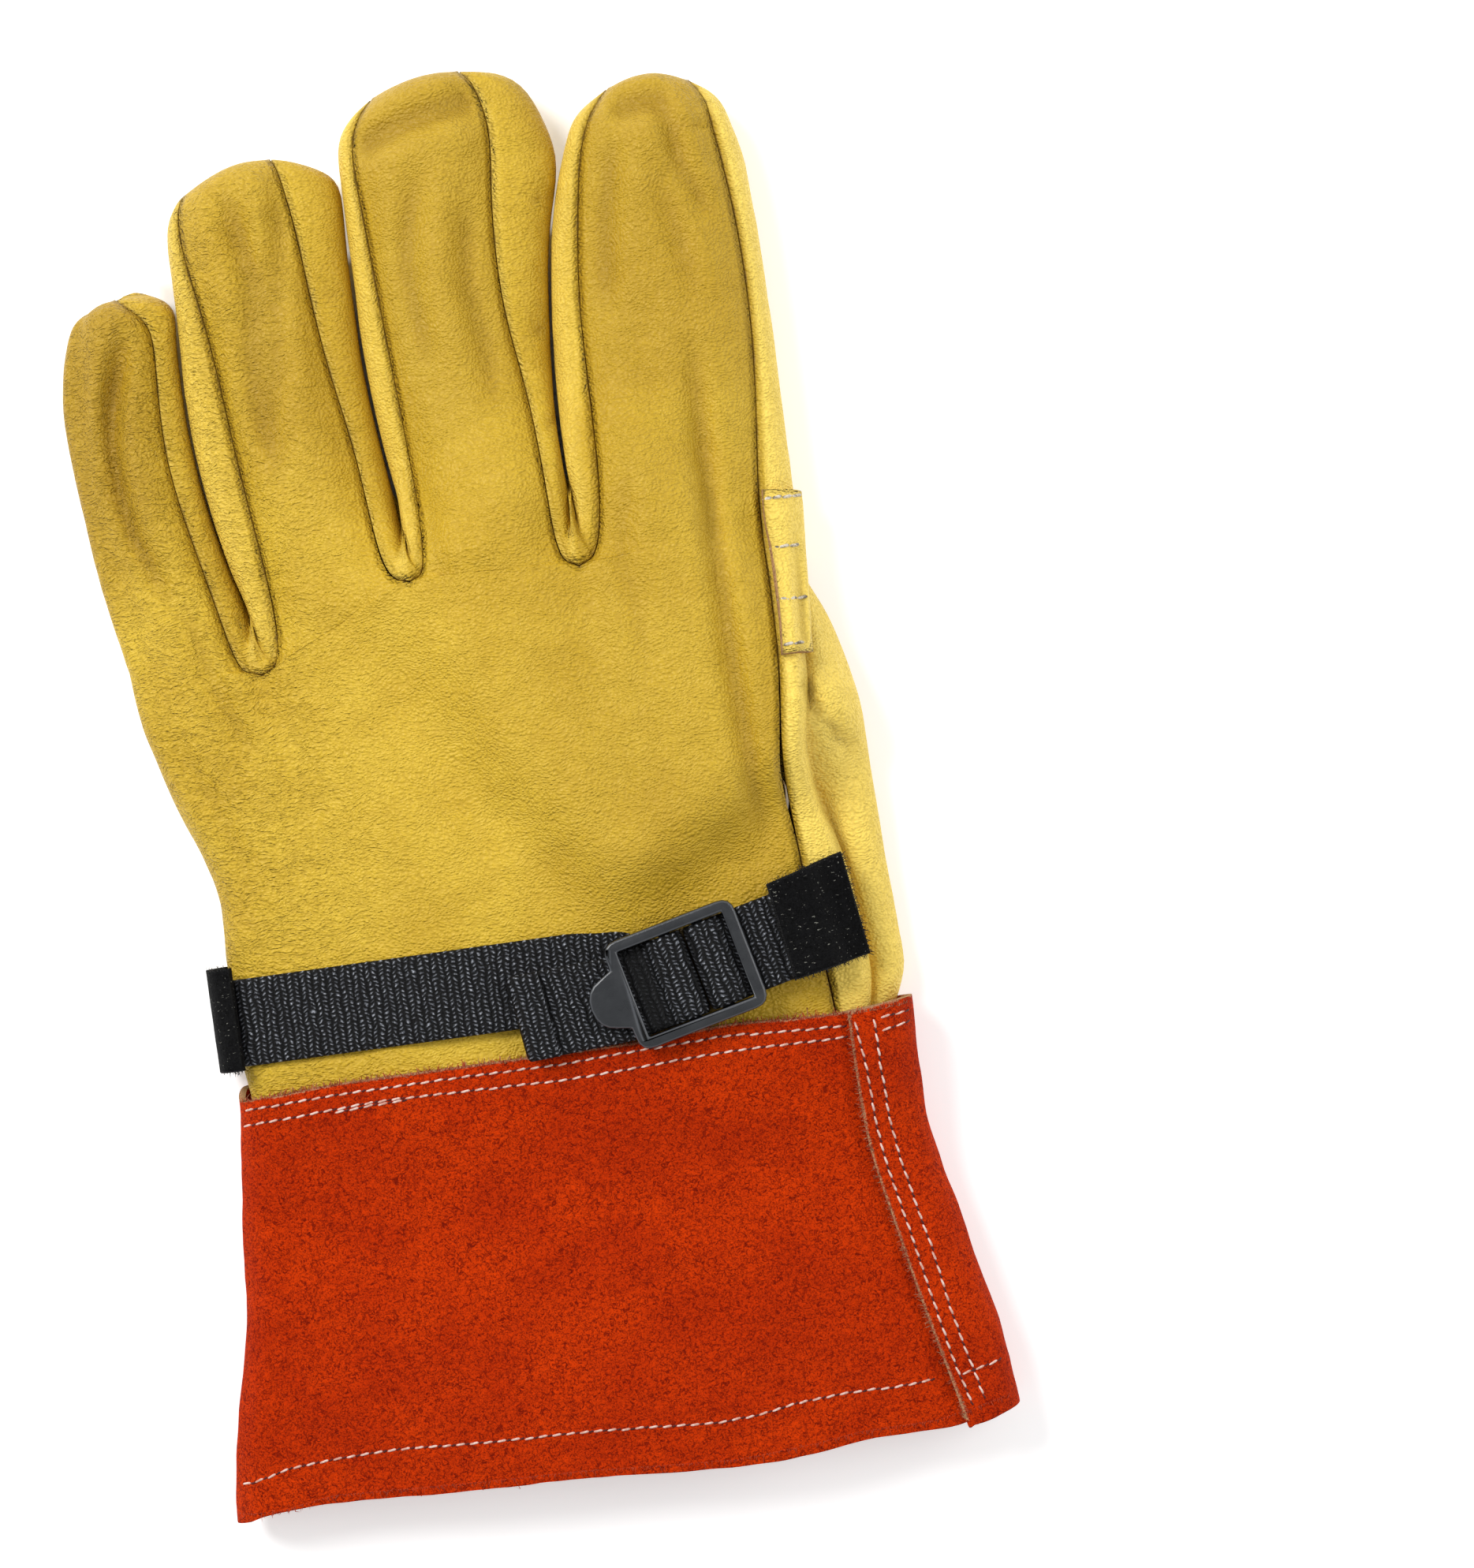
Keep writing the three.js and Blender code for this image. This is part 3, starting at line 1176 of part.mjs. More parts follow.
// The top of the glove where the strap lies: the back, or the side strip past the outer seam.
function leatherTop(x, y) {
  const seamX = handEdge("seam", y);
  if (x <= seamX) {
    const z = handHeight(x, y) + BACK_LIFT_SHARE * lift(x, y);
    return Math.max(z - creaseDepth(x, y), 0);
  }
  let top = 0;
  for (let down = 0; down <= STRIP_SHARE; down += 0.02) {
    const point = thumbSidePoint(y, down);
    if (Math.abs(point.x - x) < STRIP_REACH) {
      top = Math.max(top, point.z);
    }
  }
  return top + BACK_LIFT_SHARE * lift(x, y);
}

function highestUnder(x, y, half) {
  let top = -Infinity;
  for (let step = -1; step <= 1; step += 0.25) {
    top = Math.max(top, leatherTop(x, y + step * half));
  }
  return top;
}

function buckleGround() {
  return Math.max(...BUCKLE_RESTS.map(({ x, y }) => highestUnder(x, y, BUCKLE_HALF_REACH))) + LAY_GAP;
}

function bucklePlace(along, across) {
  const cos = Math.cos(BUCKLE.turn);
  const sin = Math.sin(BUCKLE.turn);
  return { x: BUCKLE.x + along * cos - across * sin, y: BUCKLE.y + along * sin + across * cos };
}

// A band of webbing through stations: centre line, the turn of its width in plan, and a square section.
function bandGeometry(stations, width, thickness) {
  const points = [];
  const faces = [];
  stations.forEach((station, i) => {
    const before = stations[Math.max(i - 1, 0)].centre;
    const after = stations[Math.min(i + 1, stations.length - 1)].centre;
    const run = new THREE.Vector3().subVectors(after, before).normalize();
    const across = new THREE.Vector3(-Math.sin(station.turn), Math.cos(station.turn), 0);
    const up = new THREE.Vector3().crossVectors(run, across).normalize();
    const corners = [[-1, -1], [1, -1], [1, 1], [-1, 1]];
    for (const [side, level] of corners) {
      const corner = station.centre.clone();
      corner.addScaledVector(across, (side * width) / 2);
      corner.addScaledVector(up, (level * thickness) / 2);
      points.push(corner);
    }
  });
  for (let i = 0; i < stations.length - 1; i += 1) {
    for (let k = 0; k < 4; k += 1) {
      const a = i * 4 + k;
      const b = i * 4 + ((k + 1) % 4);
      faces.push([a, b, b + 4], [a, b + 4, a + 4]);
    }
  }
  const end = (stations.length - 1) * 4;
  faces.push([0, 2, 1], [0, 3, 2], [end, end + 1, end + 2], [end, end + 2, end + 3]);
  return geometryFrom(points, faces);
}

function strapStations() {
  const stations = [];
  const half = WEBBING_WIDTH / 2;
  const add = (x, y, z, turn) => stations.push({ centre: new THREE.Vector3(x, y, z), turn });
  const ground = buckleGround();
  const fold = littleFold(STRAP_Y);
  const edge = handEdge("little", STRAP_Y);
  const foldTop = highestUnder(fold, STRAP_Y, half) + LAY_GAP + WEBBING / 2;
  const sideOut = edge - LAY_GAP - WEBBING / 2;
  add(sideOut + STRAP_END_INSET, STRAP_Y, STRAP_END_Z, 0);
  for (const share of [0, 0.25, 0.5, 0.75]) {
    const angle = share * Math.PI * 0.5;
    const z = STRAP_SIDE_Z + (foldTop - STRAP_SIDE_Z) * Math.sin(angle);
    add(fold + (sideOut - fold) * Math.cos(angle), STRAP_Y, z, 0);
  }
  for (const x of [fold, ...STRAP_STOPS]) {
    const toBuckle = ramp(x, STRAP_TURN_START, STRAP_TURN_END);
    const top = highestUnder(x, STRAP_Y, half) + LAY_GAP;
    const z = lerp(top, ground, ramp(x, ...STRAP_LEVELS)) + WEBBING / 2;
    add(x, lerp(STRAP_Y, STRAP_DROP_Y, toBuckle), z, BUCKLE.turn * toBuckle * STRAP_TURN_SHARE);
  }
  for (const row of STRAP_LOOP) {
    const place = bucklePlace(row.along, 0);
    add(place.x, place.y, ground + row.rise, BUCKLE.turn);
  }
  const leave = bucklePlace(TAIL_START, 0);
  const tailZ = ground + TAIL_RISE;
  add(leave.x, leave.y, tailZ, BUCKLE.turn);
  for (const t of TAIL_SHARES) {
    const turn = lerp(BUCKLE.turn, TAIL_END.turn, t);
    add(lerp(leave.x, TAIL_END.x, t), lerp(leave.y, TAIL_END.y, t), tailZ, turn);
  }
  add(TAIL_END.x, TAIL_END.y, tailZ + HEM_RISE / 2, TAIL_END.turn);
  const hemShare = TAIL_HEM / Math.hypot(leave.x - TAIL_END.x, leave.y - TAIL_END.y);
  for (const t of [TAIL_SHARES.at(-1), 1 - hemShare]) {
    add(lerp(leave.x, TAIL_END.x, t), lerp(leave.y, TAIL_END.y, t), tailZ + HEM_RISE, TAIL_END.turn);
  }
  return stations;
}

function anchorStations() {
  const ground = buckleGround();
  const stations = [];
  const add = (along, rise) => {
    const place = bucklePlace(along, 0);
    stations.push({ centre: new THREE.Vector3(place.x, place.y, ground + rise), turn: BUCKLE.turn });
  };
  const [near, far] = ANCHOR_STOPS;
  add(far, WEBBING / 2);
  add(near, WEBBING / 2);
  const mirror = BUCKLE_BARS[0] + BUCKLE_BARS[1];
  for (const row of STRAP_LOOP) {
    add(mirror - row.along, row.rise);
  }
  add(near, TAIL_RISE);
  add(far, TAIL_RISE);
  return stations;
}

function roundedOutline(frame, tab) {
  const shape = new THREE.Shape();
  const c = frame.corner;
  shape.moveTo(frame.left + c, -frame.half);
  shape.lineTo(frame.right - c, -frame.half);
  shape.quadraticCurveTo(frame.right, -frame.half, frame.right, -frame.half + c);
  shape.lineTo(frame.right, frame.half - c);
  shape.quadraticCurveTo(frame.right, frame.half, frame.right - c, frame.half);
  shape.lineTo(frame.left + c, frame.half);
  shape.quadraticCurveTo(frame.left, frame.half, frame.left, frame.half - c);
  shape.lineTo(frame.left, tab.half);
  shape.lineTo(tab.nose + tab.round, tab.half - 1);
  shape.quadraticCurveTo(tab.nose, tab.half - 2, tab.nose, 0);
  shape.quadraticCurveTo(tab.nose, -tab.half + 2, tab.nose + tab.round, -tab.half + 1);
  shape.lineTo(frame.left, -tab.half);
  shape.lineTo(frame.left, -frame.half + c);
  shape.quadraticCurveTo(frame.left, -frame.half, frame.left + c, -frame.half);
  return shape;
}

function toManifold(kernel, geometry) {
  const source = geometry.index ? geometry.toNonIndexed() : geometry;
  const positions = source.getAttribute("position");
  const ids = new Map();
  const vertices = [];
  const triangles = [];
  for (let i = 0; i < positions.count; i += 1) {
    const point = [positions.getX(i), positions.getY(i), positions.getZ(i)];
    const key = point.map((value) => Math.round(value * 1e4)).join(",");
    if (!ids.has(key)) {
      ids.set(key, ids.size);
      vertices.push(...point);
    }
    triangles.push(ids.get(key));
  }
  const mesh = new kernel.Mesh({
    numProp: 3,
    vertProperties: new Float32Array(vertices),
    triVerts: new Uint32Array(triangles),
  });
  return new kernel.Manifold(mesh);
}

// The ladder-lock: a frame with a thumb tab and two lower cross bars.
async function buckleGeometry() {
  const kernel = await loadManifold();
  kernel.setup();
  const outline = roundedOutline(BUCKLE_FRAME, BUCKLE_TAB);
  const opening = new THREE.Path();
  opening.moveTo(BUCKLE_FRAME.openLeft, -BUCKLE_FRAME.openHalf);
  opening.lineTo(BUCKLE_FRAME.openLeft, BUCKLE_FRAME.openHalf);
  opening.lineTo(BUCKLE_FRAME.openRight, BUCKLE_FRAME.openHalf);
  opening.lineTo(BUCKLE_FRAME.openRight, -BUCKLE_FRAME.openHalf);
  opening.closePath();
  outline.holes.push(opening);
  const frame = new THREE.ExtrudeGeometry(outline, {
    depth: BUCKLE_FRAME.height + BUCKLE_LIFT - BUCKLE_BAR.bottom, bevelEnabled: false, curveSegments: 4,
  });
  frame.translate(0, 0, BUCKLE_BAR.bottom);
  const cutDepth = BUCKLE_LIFT - BUCKLE_BAR.bottom;
  const belowEnds = [
    { from: BUCKLE_TAB.nose - 1, to: BUCKLE_FRAME.openLeft },
    { from: BUCKLE_FRAME.openRight, to: BUCKLE_FRAME.right + 1 },
  ];
  let solid = toManifold(kernel, frame);
  for (const end of belowEnds) {
    const block = new THREE.BoxGeometry(end.to - end.from, BUCKLE_FRAME.openHalf * 2, cutDepth * 2);
    block.translate((end.from + end.to) / 2, 0, BUCKLE_BAR.bottom);
    solid = solid.subtract(toManifold(kernel, block));
  }
  for (const at of BUCKLE_BARS) {
    const length = BUCKLE_FRAME.openHalf * 2 + 1.6;
    const bar = new THREE.BoxGeometry(BUCKLE_BAR.width, length, BUCKLE_BAR.top - BUCKLE_BAR.bottom);
    bar.translate(at, 0, (BUCKLE_BAR.top + BUCKLE_BAR.bottom) / 2);
    solid = solid.add(toManifold(kernel, bar));
  }
  const mesh = solid.getMesh();
  const geometry = new THREE.BufferGeometry();
  geometry.setAttribute("position", new THREE.Float32BufferAttribute(Array.from(mesh.vertProperties), 3));
  geometry.setIndex(Array.from(mesh.triVerts));
  geometry.rotateZ(BUCKLE.turn);
  geometry.translate(BUCKLE.x, BUCKLE.y, buckleGround());
  geometry.computeVertexNormals();
  return geometry;
}

// The suede patch over the anchor's ends: it lies on the anchor and comes down to the leather past it.
function thumbKeeperSheet() {
  const rows = 5;
  const columns = 8;
  const [a, b, c, d] = KEEPER_THUMB;
  const anchorTop = buckleGround() + TAIL_RISE + WEBBING / 2 + LAY_GAP;
  return gridSheet(rows, columns, (r, k) => {
    const t = k / columns;
    const s = r / rows;
    const x = lerp(lerp(d.x, c.x, t), lerp(a.x, b.x, t), s);
    const y = lerp(lerp(d.y, c.y, t), lerp(a.y, b.y, t), s);
    const onLeather = highestUnder(x, y, 1.5) + LAY_GAP;
    return new THREE.Vector3(x, y, lerp(anchorTop, onLeather, ramp(t, ...KEEPER_THUMB_STEP)) + SUEDE);
  });
}

// The suede over the strap's end: it folds round the little-finger side.
function littleKeeperSheet() {
  const rows = 4;
  const keeper = KEEPER_LITTLE;
  const top = highestUnder(keeper.inner, STRAP_Y, 11) + LAY_GAP * 2 + WEBBING + SUEDE;
  const steps = [
    ...KEEPER_LITTLE_SIDE.map(({ inset, z }) => ({ x: keeper.outer + inset, z })),
    { x: keeper.outer + KEEPER_LITTLE_BEND.inset, z: top - KEEPER_LITTLE_BEND.drop },
    { x: keeper.inner, z: top },
  ];
  return gridSheet(rows, steps.length - 1, (r, c) => {
    const y = lerp(keeper.bottom, keeper.top, r / rows);
    return new THREE.Vector3(steps[c].x, y, Math.max(steps[c].z, 0));
  });
}

function material(name, color, roughness) {
  return new THREE.MeshStandardMaterial({ name, color, roughness, metalness: 0 });
}

function named(name, geometry, itsMaterial) {
  const mesh = new THREE.Mesh(geometry, itsMaterial);
  mesh.name = name;
  return mesh;
}

function centreInPlan(meshes) {
  const box = new THREE.Box3();
  for (const mesh of meshes) {
    mesh.geometry.computeBoundingBox();
    box.union(mesh.geometry.boundingBox);
  }
  const centre = box.getCenter(new THREE.Vector3());
  for (const mesh of meshes) {
    mesh.geometry.translate(-centre.x, -centre.y, -box.min.z);
  }
}

async function build() {
  const grain = material("grain_leather", 0xcda83e, 0.55);
  const orangeSuede = material("orange_suede", 0xc83c00, 0.9);
  const blackSuede = material("black_suede", 0x1c1b1c, 0.9);
  const nylon = material("nylon_webbing", 0x2d2f34, 0.7);
  const plastic = material("black_plastic", 0x323234, 0.4);

  const hand = handSheet();
  const thumb = thumbSheet(hand.sheet.points, hand.rim);
  const fourchettes = [
    { name: "fourchette_little_ring", sheet: fourchetteSheet(SIDES.littleInner, SIDES.ringLeft) },
    { name: "fourchette_ring_middle", sheet: fourchetteSheet(SIDES.ringRight, SIDES.middleLeft) },
    { name: "fourchette_middle_index", sheet: fourchetteSheet(SIDES.middleRight, SIDES.indexLeft) },
  ];
  sharedNormals([hand.sheet, thumb, ...fourchettes.map((piece) => piece.sheet)]);

  const meshes = [
    named("hand_leather", wallFromSheet(hand.sheet, LEATHER), grain),
    ...fourchettes.map((piece) => named(piece.name, wallFromSheet(piece.sheet, FOURCHETTE_LEATHER), grain)),
    named("thumb", wallFromSheet(thumb, LEATHER), grain),
    named("palm_patch", wallAlone(patchSheet(palmHeightReader(hand.sheet)), LEATHER - 0.1), grain),
    named("wrist_tongue", wallAlone(tongueSheet(), LEATHER), grain),
    named("cuff", wallAlone(cuffSheet(), SUEDE), orangeSuede),
    named("strap", bandGeometry(strapStations(), WEBBING_WIDTH, WEBBING), nylon),
    named("strap_anchor", bandGeometry(anchorStations(), WEBBING_WIDTH, WEBBING), nylon),
    named("buckle", await buckleGeometry(), plastic),
    named("keeper_thumb_side", wallAlone(thumbKeeperSheet(), SUEDE), blackSuede),
    named("keeper_little_side", wallAlone(littleKeeperSheet(), SUEDE), blackSuede),
  ];
  centreInPlan(meshes);
  const group = new THREE.Group();
  group.name = "leather_protector_glove";
  group.add(...meshes);
  return group;
}

export default await build();
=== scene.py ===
# A leather protector glove on a pale floor, seen from above.
# Blender works in metres; the tables below are in mm, except where a comment says otherwise.
import math
import random

import bmesh
import bpy
import numpy as np
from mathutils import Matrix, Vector, noise
from mathutils.bvhtree import BVHTree
from mathutils.kdtree import KDTree


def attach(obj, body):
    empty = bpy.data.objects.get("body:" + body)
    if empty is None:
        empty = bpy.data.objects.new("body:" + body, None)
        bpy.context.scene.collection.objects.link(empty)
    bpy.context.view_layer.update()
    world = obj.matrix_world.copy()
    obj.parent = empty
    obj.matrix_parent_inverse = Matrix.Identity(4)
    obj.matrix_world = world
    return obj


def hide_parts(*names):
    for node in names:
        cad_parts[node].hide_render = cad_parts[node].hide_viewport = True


MM = 0.001
# The zero of the plan tables lies here in the part's frame.
PLAN_ZERO = (-1.5, -47.0)

# The camera looks straight down. Its frame is FRAME_HEIGHT high at SCALE_HEIGHT above the floor.
CAMERA_PLACE = (46.4, -9.1)
CAMERA_TURN = math.radians(-8)
FRAME_HEIGHT = 342.9
SCALE_HEIGHT = 10
LENS = 100
SENSOR = 36

# The floor and the lights, in metres and watts.
FLOOR_HALF = 3
FLOOR_DROP = 0.0002
WORLD_LIGHT = 0.4
LIGHTS = [
    {"name": "key", "place": (-0.6, 0.6, 0.9), "size": 0.6, "power": 12},
    {"name": "fill", "place": (0.9, 0.1, 0.9), "size": 0.9, "power": 6},
]

# Under the glove the floor doesn't glow, so that no light comes up between the fingers. In the part's frame.
UNDER_GLOVE = {"x": -4, "y": -14, "half_x": 59, "half_y": 130}
GLOW = 0.35
GLOW_EDGE = 4

# Points of a CAD node that are closer than this are one point.
WELD = 0.001
# Two triangles become a quad when they are this flat to each other and this square.
JOIN_ANGLE = math.radians(50)
JOIN_SHAPE = math.radians(75)
BAND_JOIN_SHAPE = 3.0
# A rim edge turns by RIM_ANGLE or more, beside a face that is thinner than THIN.
RIM_ANGLE = math.radians(52)
THIN = 2.2
# Rounds that bring a smooth copy through the node's own points.
FIT_ROUNDS = 4
# Spacing of the places along a rim from which the distance to a seam is taken.
BORDER_STEP = 0.4
# Heights from which a plan place is looked up on a surface.
RAY_ABOVE = 200
RAY_BELOW = -100

# Grooves of the back of the hand, as lines in plan, each with its half width and its depth.
GROOVES = [
    {"width": 2.0, "depth": 1.7, "line": [(-69.5, 157), (-73.8, 144), (-76.1, 137), (-77, 128.5),
                                          (-76.5, 118.6), (-74.7, 110), (-71.6, 101.5), (-66.9, 88)]},
    {"width": 3.0, "depth": 1.7, "line": [(-46.7, 187), (-43.7, 178), (-41, 160), (-43.7, 142),
                                          (-43.6, 133), (-40, 112)]},
    {"width": 2.6, "depth": 1.3, "line": [(-31.8, 187), (-35.6, 160), (-37.4, 146.5), (-40.2, 124)]},
    {"width": 3.2, "depth": 1.9, "line": [(-19.8, 184.5), (-4, 190), (4, 191.5), (19.2, 194.5)]},
    {"width": 2.6, "depth": 1.2, "line": [(-1, 183), (-6.1, 167), (-7.5, 158), (-5.1, 132)]},
    {"width": 2.6, "depth": 1.1, "line": [(8, 178), (5.1, 154.6), (6.9, 142), (7.8, 120)]},
    {"width": 3.4, "depth": 1.5, "line": [(39.5, 186), (47, 187), (55.5, 187.4)]},
    {"width": 2.2, "depth": 1.5, "line": [(51, 188), (52.9, 182), (54.6, 171.7), (60.6, 158)]},
    {"width": 2.8, "depth": 1.2, "line": [(41.3, 184), (36.6, 162.7), (33.8, 140)]},
    {"width": 2.4, "depth": 1.0, "line": [(49, 178), (53.8, 142)]},
    {"width": 0.9, "depth": 0.9, "line": [(54.4, 181.2), (58, 180.8), (62, 180)]},
    {"width": 2.2, "depth": 1.6, "line": [(51.5, 146), (50.3, 90), (50.5, 75), (50.7, 61), (51.2, 46),
                                          (52, 31), (52.7, 14)]},
    {"width": 1.1, "depth": 1.5, "line": [(69.3, 100), (68.1, 87), (67, 75), (66.2, 62), (65.9, 55),
                                          (64.8, 49), (64.4, 43), (64.8, 36), (66.2, 30), (67.6, 25),
                                          (69.4, 12), (71.7, -20)]},
    {"width": 1.5, "depth": 1.5, "line": [(63, 61), (66, 55), (68.5, 50), (74.4, 39.5)]},
    {"width": 2.4, "depth": 0.8, "line": [(-68, 100), (-62, 76), (-53, 52)]},
    {"width": 2.2, "depth": 0.7, "line": [(-75, 70), (-66, 52), (-58, 28)]},
    {"width": 2.0, "depth": 0.6, "line": [(-20, 126), (-10, 104), (-7, 80)]},
    {"width": 2.4, "depth": 0.7, "line": [(35, 116), (30, 90), (34, 58)]},
    {"width": 1.6, "depth": 1.5, "line": [(16, 146), (20.5, 140), (25, 141)]},
    {"width": 1.5, "depth": 1.3, "line": [(15, 125), (17.7, 121), (22, 122)]},
    {"width": 1.8, "depth": 1.2, "line": [(20, 173), (24, 169), (28, 171)]},
    {"width": 1.4, "depth": 1.0, "line": [(-29, 158), (-25.5, 155), (-22, 156)]},
    {"width": 1.0, "depth": 1.0, "line": [(-56.5, 90), (-51.4, 84), (-50.8, 78)]},
]
# All grooves are deeper than in the table by this factor, and fade in over this share of their length.
GROOVE_GAIN = 1.35
GROOVE_END = 0.25
# Beside a groove the leather rises in a lip: its share of the depth, and how many widths away it is.
LIP_SHARE = 0.3
LIP_PLACE = 2

# The leather's relief fades in away from a seam, above the lower side and up from the floor.
OFF_SEAM = (0, 3)
UPPER_SIDE = (8, 11)
ABOVE_FLOOR = (0, 4)
# Its soft waves: their sizes along x, y and z, and the settings of the fractal noise.
WAVES = (13, 17, 9)
WAVE_NOISE = {"H": 1.0, "lacunarity": 2.0, "octaves": 3}
# Height of the pressed underside: the stitches there lie between it and the floor.
PRESSED_LEVEL = 0.14

# The outer seam in plan: y, then x.
OUTER_SEAM = [(-24, 62.4), (-6, 61.7), (5, 60.6), (16, 59.7), (27, 59), (38, 58.2), (48, 58.9), (57, 60),
              (66, 60.8), (90, 61.1), (122, 64), (140, 65.1), (156, 65), (170, 63.9), (181, 62.6),
              (192, 58.6)]

# Painted light: the leather is paler beyond the outer seam, from this far beside it and from this high up.
PAINTED_LIGHT_BESIDE = (0.4, 1.6)
PAINTED_LIGHT_ABOVE = (3, 6)
# Painted shade darkens it in these zones, each with its share and the places between which it fades in.
PAINTED_SHADE_ZONES = [
    {"share": 0.8, "x": (-58, -72), "y": (90, 120)},
    {"share": 0.25, "z": (4, 0)},
    {"share": 0.5, "x": (-70, -30), "y": (104, 130)},
    {"share": 0.3, "x": (-5, 25)},
]
# A fourchette's painted light and painted shade follow the side that it faces.
FOURCHETTE_PAINTED_LIGHT = {"gain": -0.9, "darkest": -0.8, "palest": 0.6}

# Stitch rows of the cuff's upper leaf.
CUFF_STITCHES = [
    [(-68.6, -17.6), (-50, -16.9), (-30, -16.6), (0, -16.9), (37, -15.7), (63.6, -17.3)],
    [(-69.6, -21), (-50, -20), (-37, -19.3), (3, -20.4), (37, -19.1), (63.8, -19.7)],
    [(-49, -20.6), (-37, -19.9), (-33, -19.9)],
    [(66, -16), (67.3, -29), (67.6, -40), (68.7, -49), (70.7, -59), (72.7, -69), (74.7, -80), (76.7, -91),
     (79.6, -102)],
    [(70, -16), (70.3, -29), (70.7, -40), (72, -49), (74, -59), (76, -69), (77.7, -80), (80, -91),
     (82.6, -101)],
    [(-80.5, -98), (-77, -98), (-70, -96), (-59, -95), (-43, -94.7), (-30, -95.5), (-17, -96), (-3, -96.5),
     (10, -97.3), (24.7, -98.4), (34, -98), (43, -96.7), (53, -96), (63, -96.4), (72, -96)],
    [(78, -95.6), (83.3, -94.7), (87, -93.9)],
    [(71, -16.4), (77.6, -15.9)],
    [(71, -19.2), (77.4, -18.3)],
]
# Stitch rows of the palm side: the cuff's edge and hem, and then the flap's curved edge.
PALM_CUFF_STITCHES = [
    [(-66, -16.4), (-38, -16.4)],
    [(-66, -19.8), (-38, -19.8)],
    [(54, -16.4), (74, -16.4)],
    [(54, -19.8), (74, -19.8)],
    [(-74, -96.2), (-40, -94.8), (0, -96), (40, -96.6), (82, -95)],
]
TONGUE_STITCHES = [
    [(-27.5, -15.4), (-19, -23.5), (-11.5, -30.6), (-4, -37.4), (2.6, -42.8), (7.8, -45.6), (12, -44.6),
     (20, -42), (29, -36), (36.5, -29.4), (42, -22.6), (45, -15.4)],
]
# How far from the reinforcement's outer to its inner edge each row runs, and places on both edges.
PATCH_STITCH_SHARES = (0.06, 0.36, 0.66, 0.94)
PATCH_EDGES = [
    ((-15, -12.2), (15.6, -12.2)),
    ((-19, 13), (11.5, 9)),
    ((-21.5, 32), (9, 27)),
    ((-22, 50), (8, 44)),
    ((-19.5, 68), (10, 56)),
    ((-11, 84), (17, 62.5)),
    ((8, 94), (26, 64)),
    ((32, 97.5), (40, 64)),
    ((53, 99.5), (52, 66)),
]
# Short rows across the reinforcement's end, on the back.
PATCH_END_STITCHES = [
    [(61.9, 98.3), (70.6, 98.3)],
    [(61.9, 87.5), (70.8, 87.5)],
    [(61.9, 76.0), (71.0, 76.0)],
    [(61.9, 66.2), (71.2, 66.2)],
]

# Each kind of stitch. rise and offset are shares of its radius and its pitch; least is its lowest height.
STITCH = {"pitch": 3.0, "length": 1.95, "radius": 0.28, "rise": 0.1, "offset": 0.0, "least": 0.0}
# Dark pieces of painted shade in the needle holes between stitches.
HOLE_SHADE = {"pitch": 3.0, "length": 1.1, "radius": 0.24, "rise": 0.05, "offset": 0.5, "least": 0.07}
PATCH_STITCH = {"pitch": 2.9, "length": 2.6, "radius": 0.42, "rise": 0.2, "offset": 0.0, "least": 0.0}
END_STITCH = {"pitch": 2.1, "length": 1.95, "radius": 0.4, "rise": 0.35, "offset": 0.0, "least": 0.0}
# How far a stitch wanders from its row and slants across it, and the noise steps of rows and stitches.
STITCH_WANDER = 0.18
STITCH_SLANT = 0.12
WANDER_STEPS = (7.3, 1.7)
# A stitch's form: how its ends round off, how two plies twist, and how it arches and dips in the leather.
STITCH_RINGS = 7
STITCH_SIDES = 8
STITCH_END = 0.06
STITCH_ARCH = 0.9
STITCH_DIP = 0.75
STITCH_FLAT = 0.8
PLY_SWELL = 0.16
PLY_TURN = 7

# Cut edges in plan, each with the side that its loose fibres point to.
CUFF_CUT = [
    ([(-69, -15.5), (-50, -14.5), (19, -14.5), (40, -13.4), (64, -14.4)], (0, 1)),
    ([(65, -14.6), (78, -14)], (0, 1)),
    ([(65.1, -14), (64.9, -27), (65.1, -39), (66.4, -49), (68.5, -60), (70.8, -72), (73.2, -84),
      (75.7, -94), (78.4, -104)], (-1, 0)),
]
CUFF_HEM_CUT = [
    ([(-82, -104.8), (-73, -105), (-60, -103), (-29, -104.2), (-7, -104.8), (14, -106.2), (28, -107.1),
      (45, -106.1), (55, -105), (72, -105), (88, -101.8)], (0, -1)),
]
KEEPER_CUT = [
    ([(51.2, 15.6), (68.3, 20.2)], (-0.26, 0.97)),
    ([(54.5, -5.7), (71.4, -2.5)], (0.18, -0.98)),
    ([(51.2, 15.6), (54.5, -5.7)], (-1, 0)),
    ([(68.3, 20.2), (71.6, -2.5)], (1, 0)),
]
KEEPER_LITTLE_CUT = [
    ([(-72, 13.6), (-66.9, 13.6)], (0, 1)),
    ([(-72, -8.9), (-66.9, -8.9)], (0, -1)),
]
CUFF_FIBRE = {"spacing": 0.3, "length": 1.5, "radius": 0.1, "inset": 0.3}
KEEPER_FIBRE = {"spacing": 0.18, "length": 1.3, "radius": 0.09, "inset": 0.35}
# How fibres spread, in radians and in shares of their length.
FIBRE_TURN = 0.5
FIBRE_SHORTEST = 0.25
FIBRE_RISE = (-0.5, 0.35)
FIBRE_BEND = 0.25
FIBRE_BEND_UP = (-0.1, 0.2)
# A fibre's rings: the share of its length and of its radius. Each ring has these corners.
FIBRE_RINGS = ((0.0, 1.0), (0.55, 0.8), (1.0, 0.25))
FIBRE_CORNERS = ((1, -0.6), (-1, -0.6), (0, 1))

# The buckle's opening in plan, where a painted shadow darkens webbing and leather, fading over WELL_EDGE.
BUCKLE_WELL = {"x": 31.2, "y": -1.1, "turn": math.radians(16), "half_along": 11.6, "half_across": 9.4}
WELL_EDGE = 1
# How far below their highest place the webbing's humps get the painted shadow there.
HUMP_SHADE = (0.4, 2.2)
